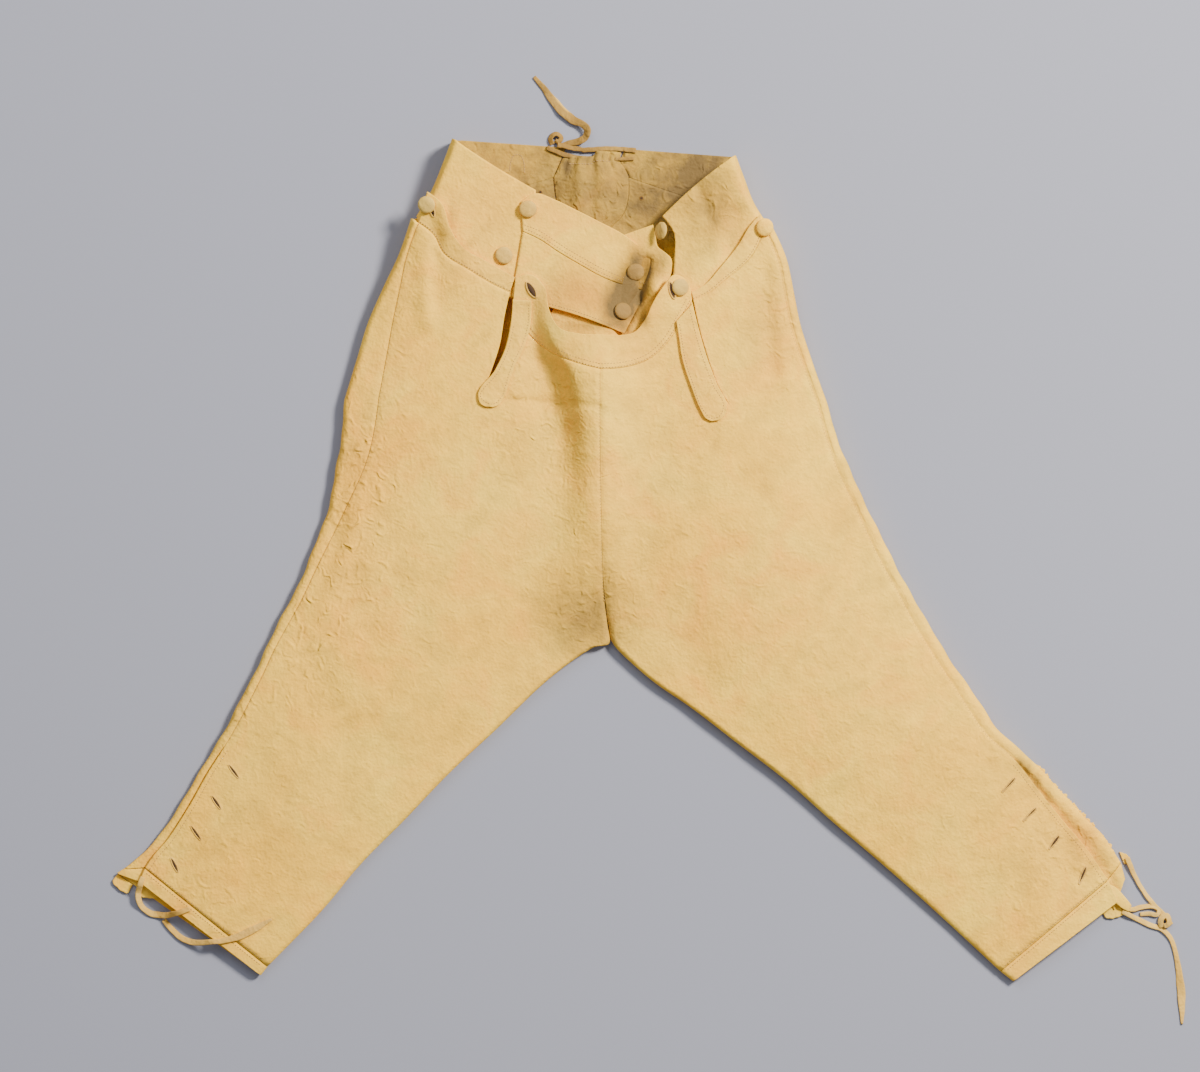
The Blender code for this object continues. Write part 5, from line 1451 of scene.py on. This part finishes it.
def across(left, f0, f1, down):
    """Line `down` mm below the hem seam, from share f0 to f1 of its length."""
    r = np.array((LEG_LEFT if left else LEG_RIGHT)[-1][:6], float)
    h = np.array(HEM_LEFT if left else HEM_RIGHT, float)
    a, b = r[2:4], r[4:6]
    way = unit(h[2:4] - a)[0] * 0.5 + unit(h[4:6] - b)[0] * 0.5
    f = np.linspace(f0, f1, 12)[:, None]
    return a + (b - a) * f + way * down


stitched += [
    stitch_rows("stitches_vent_left", [beside(vent[True], -4.6)], 3.0, 1.7, 0.34),
    stitch_rows("stitches_vent_right", [beside(vent[False], 4.6)], 3.0, 1.7, 0.34),
    stitch_rows("stitches_hem_left",
                [across(True, 0.02, 0.96, -1.8), across(True, 0.02, 0.96, 3.4)], 3.0, 1.7, 0.34),
    stitch_rows("stitches_hem_right",
                [across(False, 0.02, 0.96, -1.8), across(False, 0.02, 0.96, 3.4)], 3.0, 1.7, 0.34),
]
print("rows of stitches", len(stitched))

# %% [markdown]
# Buttonholes.  Each is a slit that gapes a little, its two lips worked round
# with thread.  No hole is cut: the slit is a thin lens painted dark with the
# hole's shade, and the lips are a stadium-shaped cord that dips with the leather.

# %% Buttonholes


def lie(p, layer):
    """Plan points on the front leather, or for no layer on the leather of the mat."""
    if layer is None:
        return np.concatenate([p, np.full(p.shape[:-1] + (1,), FLAT)], -1)
    return raised(p, layer)


def buttonhole(name, u0, v0, u1, v1, layer=0.0, gape=1.0, lip=0.7, up=0.0, skew=1.0):
    """Lens of half width gape * sin(pi t) ** 0.7, and a tube of stitched lip round it."""
    a, b = np.array([u0, v0], float), np.array([u1, v1], float)
    way = unit(b - a)[0]
    off = np.array([-way[1], way[0]])
    t = np.linspace(0, 1, 21)
    bulge = np.sin(np.pi * t ** skew) ** 0.7 * gape
    mid = a + (b - a) * t[:, None]
    slit = lie(np.array([mid + off * (bulge * s)[:, None] for s in (-1, 0, 1)]), layer)
    slit[..., 2] += WALL / 2 + 0.12 + up
    # the slit: a thin lens painted dark with the shade of the hole, as no hole is cut
    wall(name + "_slit", [slit], painted_hole_shade, thick=0.2)
    reach = off * (bulge + 0.55)[:, None]
    c = lie(np.concatenate([mid + reach, (mid - reach)[::-1]]), layer)
    c[:, 2] += WALL / 2 + 0.05 + up
    n, k = len(c), 8
    along = unit(np.roll(c, -1, 0) - np.roll(c, 1, 0))[0]
    out = unit(np.cross(along, [0, 0, 1.0]))[0]
    rise = np.cross(out, along)
    ang = np.arange(k) * 2 * np.pi / k
    r = lip * (1 + 0.16 * np.cos(np.arange(n) * 2.4))[:, None]
    tube = (c[:, None] + out[:, None] * (r * np.cos(ang))[..., None]
            + rise[:, None] * (r * 0.75 * np.sin(ang))[..., None])
    skin(name + "_lip", place(tube), grid_quads(n, k, ring=True), thong_skin)


HOLES = {
    "hole_left_1": (229, 765, 239, 778), "hole_left_2": (212, 796, 221, 809, 0, 1.1),
    "hole_left_3": (191, 826, 201, 840), "hole_left_4": (171, 858, 178, 872, 0, 1.2),
    "hole_right_1": (1002, 792, 1015, 778, 0, 0.7, 0.7, 0, 2.2),
    "hole_right_2": (1023, 821, 1036, 808, 0, 0.7, 0.7, 0, 2.2),
    "hole_right_3": (1049, 849, 1059, 836, 0, 1.2, 0.7, 0, 1.6),
    "hole_right_4": (1079, 884, 1086, 867, 0, 1.2, 0.8, 0, 1.4),
    "hole_fall_left": (527, 283, 536, 298, 0, 2.8, 0.8, 0.9),
    "hole_fall_right": (669.5, 283, 674, 299.5, 0, 2.2, 0.8, 0.9),
    "lace_hole_left": (540, 190, 540.6, 193.4, None, 1.2, 0.5),
    "lace_hole_right": (641.2, 196, 641.8, 199.4, None, 1.2, 0.5),
    "hole_pocket_left": (431, 205, 434.5, 218, 0, 1.7, 0.7, 0.25),
    "hole_pocket_right": (759.5, 236, 765, 226, 0, 1.6, 0.7, 0.25),
}
for name, where in HOLES.items():
    buttonhole(name, *where)
print("buttonholes", len(HOLES))

# %% [markdown]
# The pieces are sheets of leather.  Each is given the size of the cut that it
# came from, and the share of that cut that its skin covers is printed.

# %% The share of each cut


LEAST = 0.31   # a piece covers at least this share of its cut


def cut(obj, width, length, rests, parts=()):
    """Prints the share of width * length that its skin covers; the area, held from LEAST to all of
    width * length, is worked out but not used.
    """
    room = width * length
    area = max(min(surface_of(obj), room), LEAST * room)
    print(obj.name, "covers", round(surface_of(obj) / room, 2), "of its cut")


cut(front_left, 0.36, 0.74, ["back_left_skin"], [pocket_left, strip_left])
cut(front_right, 0.36, 0.76, ["back_right_skin"], [pocket_right, strip_right])
cut(back_left, 0.38, 0.84, ["back_left"])
cut(back_right, 0.36, 0.84, ["back_right"])
cut(hem_left, 0.36, 0.02, ["back_left_skin"], [leaves[0], leaves[2]])
cut(hem_right, 0.36, 0.03, ["back_right_skin"], [leaves[1], leaves[3], facing_end, fray])
cut(waist_left, 0.30, 0.13, ["back_left_skin"])
cut(waist_right, 0.26, 0.12, ["back_right_skin"])
cut(fall_band, 0.30, 0.06, ["front_left_skin"])
cut(bearer_band, 0.16, 0.05, ["bearer_left_skin"])
cut(bearer_left, 0.16, 0.07, ["waist_left_band"])
cut(bearer_right, 0.12, 0.14, ["waist_right_band"])
cut(back_gusset, 0.09, 0.13, ["back_left_skin"])

# %% [markdown]
# The floor is a seamless paper, pale grey with a breath of blue.

# %% Floor
paper = plain("studio paper, matt", colour("#90919D"), colour("#8E8F9B"), 900.0, 0.95, 0.05)
HALF = 3.5   # half the paper's width, m
corners = [(-HALF, -HALF, 0), (HALF, -HALF, 0), (HALF, HALF, 0), (-HALF, HALF, 0)]
floor_mesh = bpy.data.meshes.new("paper")
floor_mesh.from_pydata(corners, [], [(0, 1, 2, 3)])
floor_mesh.materials.append(paper)
floor = bpy.data.objects.new("paper", floor_mesh)
bpy.context.scene.collection.objects.link(floor)
print("floor", 2 * HALF, "m")

# %% [markdown]
# The key lamp, 0.8 m wide, stands to the upper right, about 42 degrees high.  A
# weak wide lamp beyond the waist and a pale surround fill the shade.

# %% Light


def lamp(name, place_at, aim, size_m, watts, tint):
    """Square area lamp that faces a point."""
    data = bpy.data.lights.new(name, "AREA")
    data.size, data.energy, data.color = size_m, watts, tint
    obj = bpy.data.objects.new(name, data)
    way = np.array(place_at, float) - np.array(aim, float)
    way /= np.linalg.norm(way)
    obj.location = place_at
    obj.rotation_euler = (np.arccos(way[2]), 0, np.arctan2(way[1], way[0]) + np.pi / 2)
    bpy.context.scene.collection.objects.link(obj)
    return obj


lamp("key", (2.5, 2.0, 2.9), (0, 0, 0), 0.8, 452, (1.0, 0.96, 0.88))
lamp("fill", (-1.0, 2.7, 3.0), (0, 0, 0), 2.6, 70, (0.96, 0.98, 1.0))
world = bpy.data.worlds.new("surround")
bpy.context.scene.world = world
world.use_nodes = True
pale_air = world.node_tree.nodes["Background"].inputs
pale_air["Color"].default_value = (0.80, 0.84, 0.92, 1)
pale_air["Strength"].default_value = 0.45
print("lamps 2")
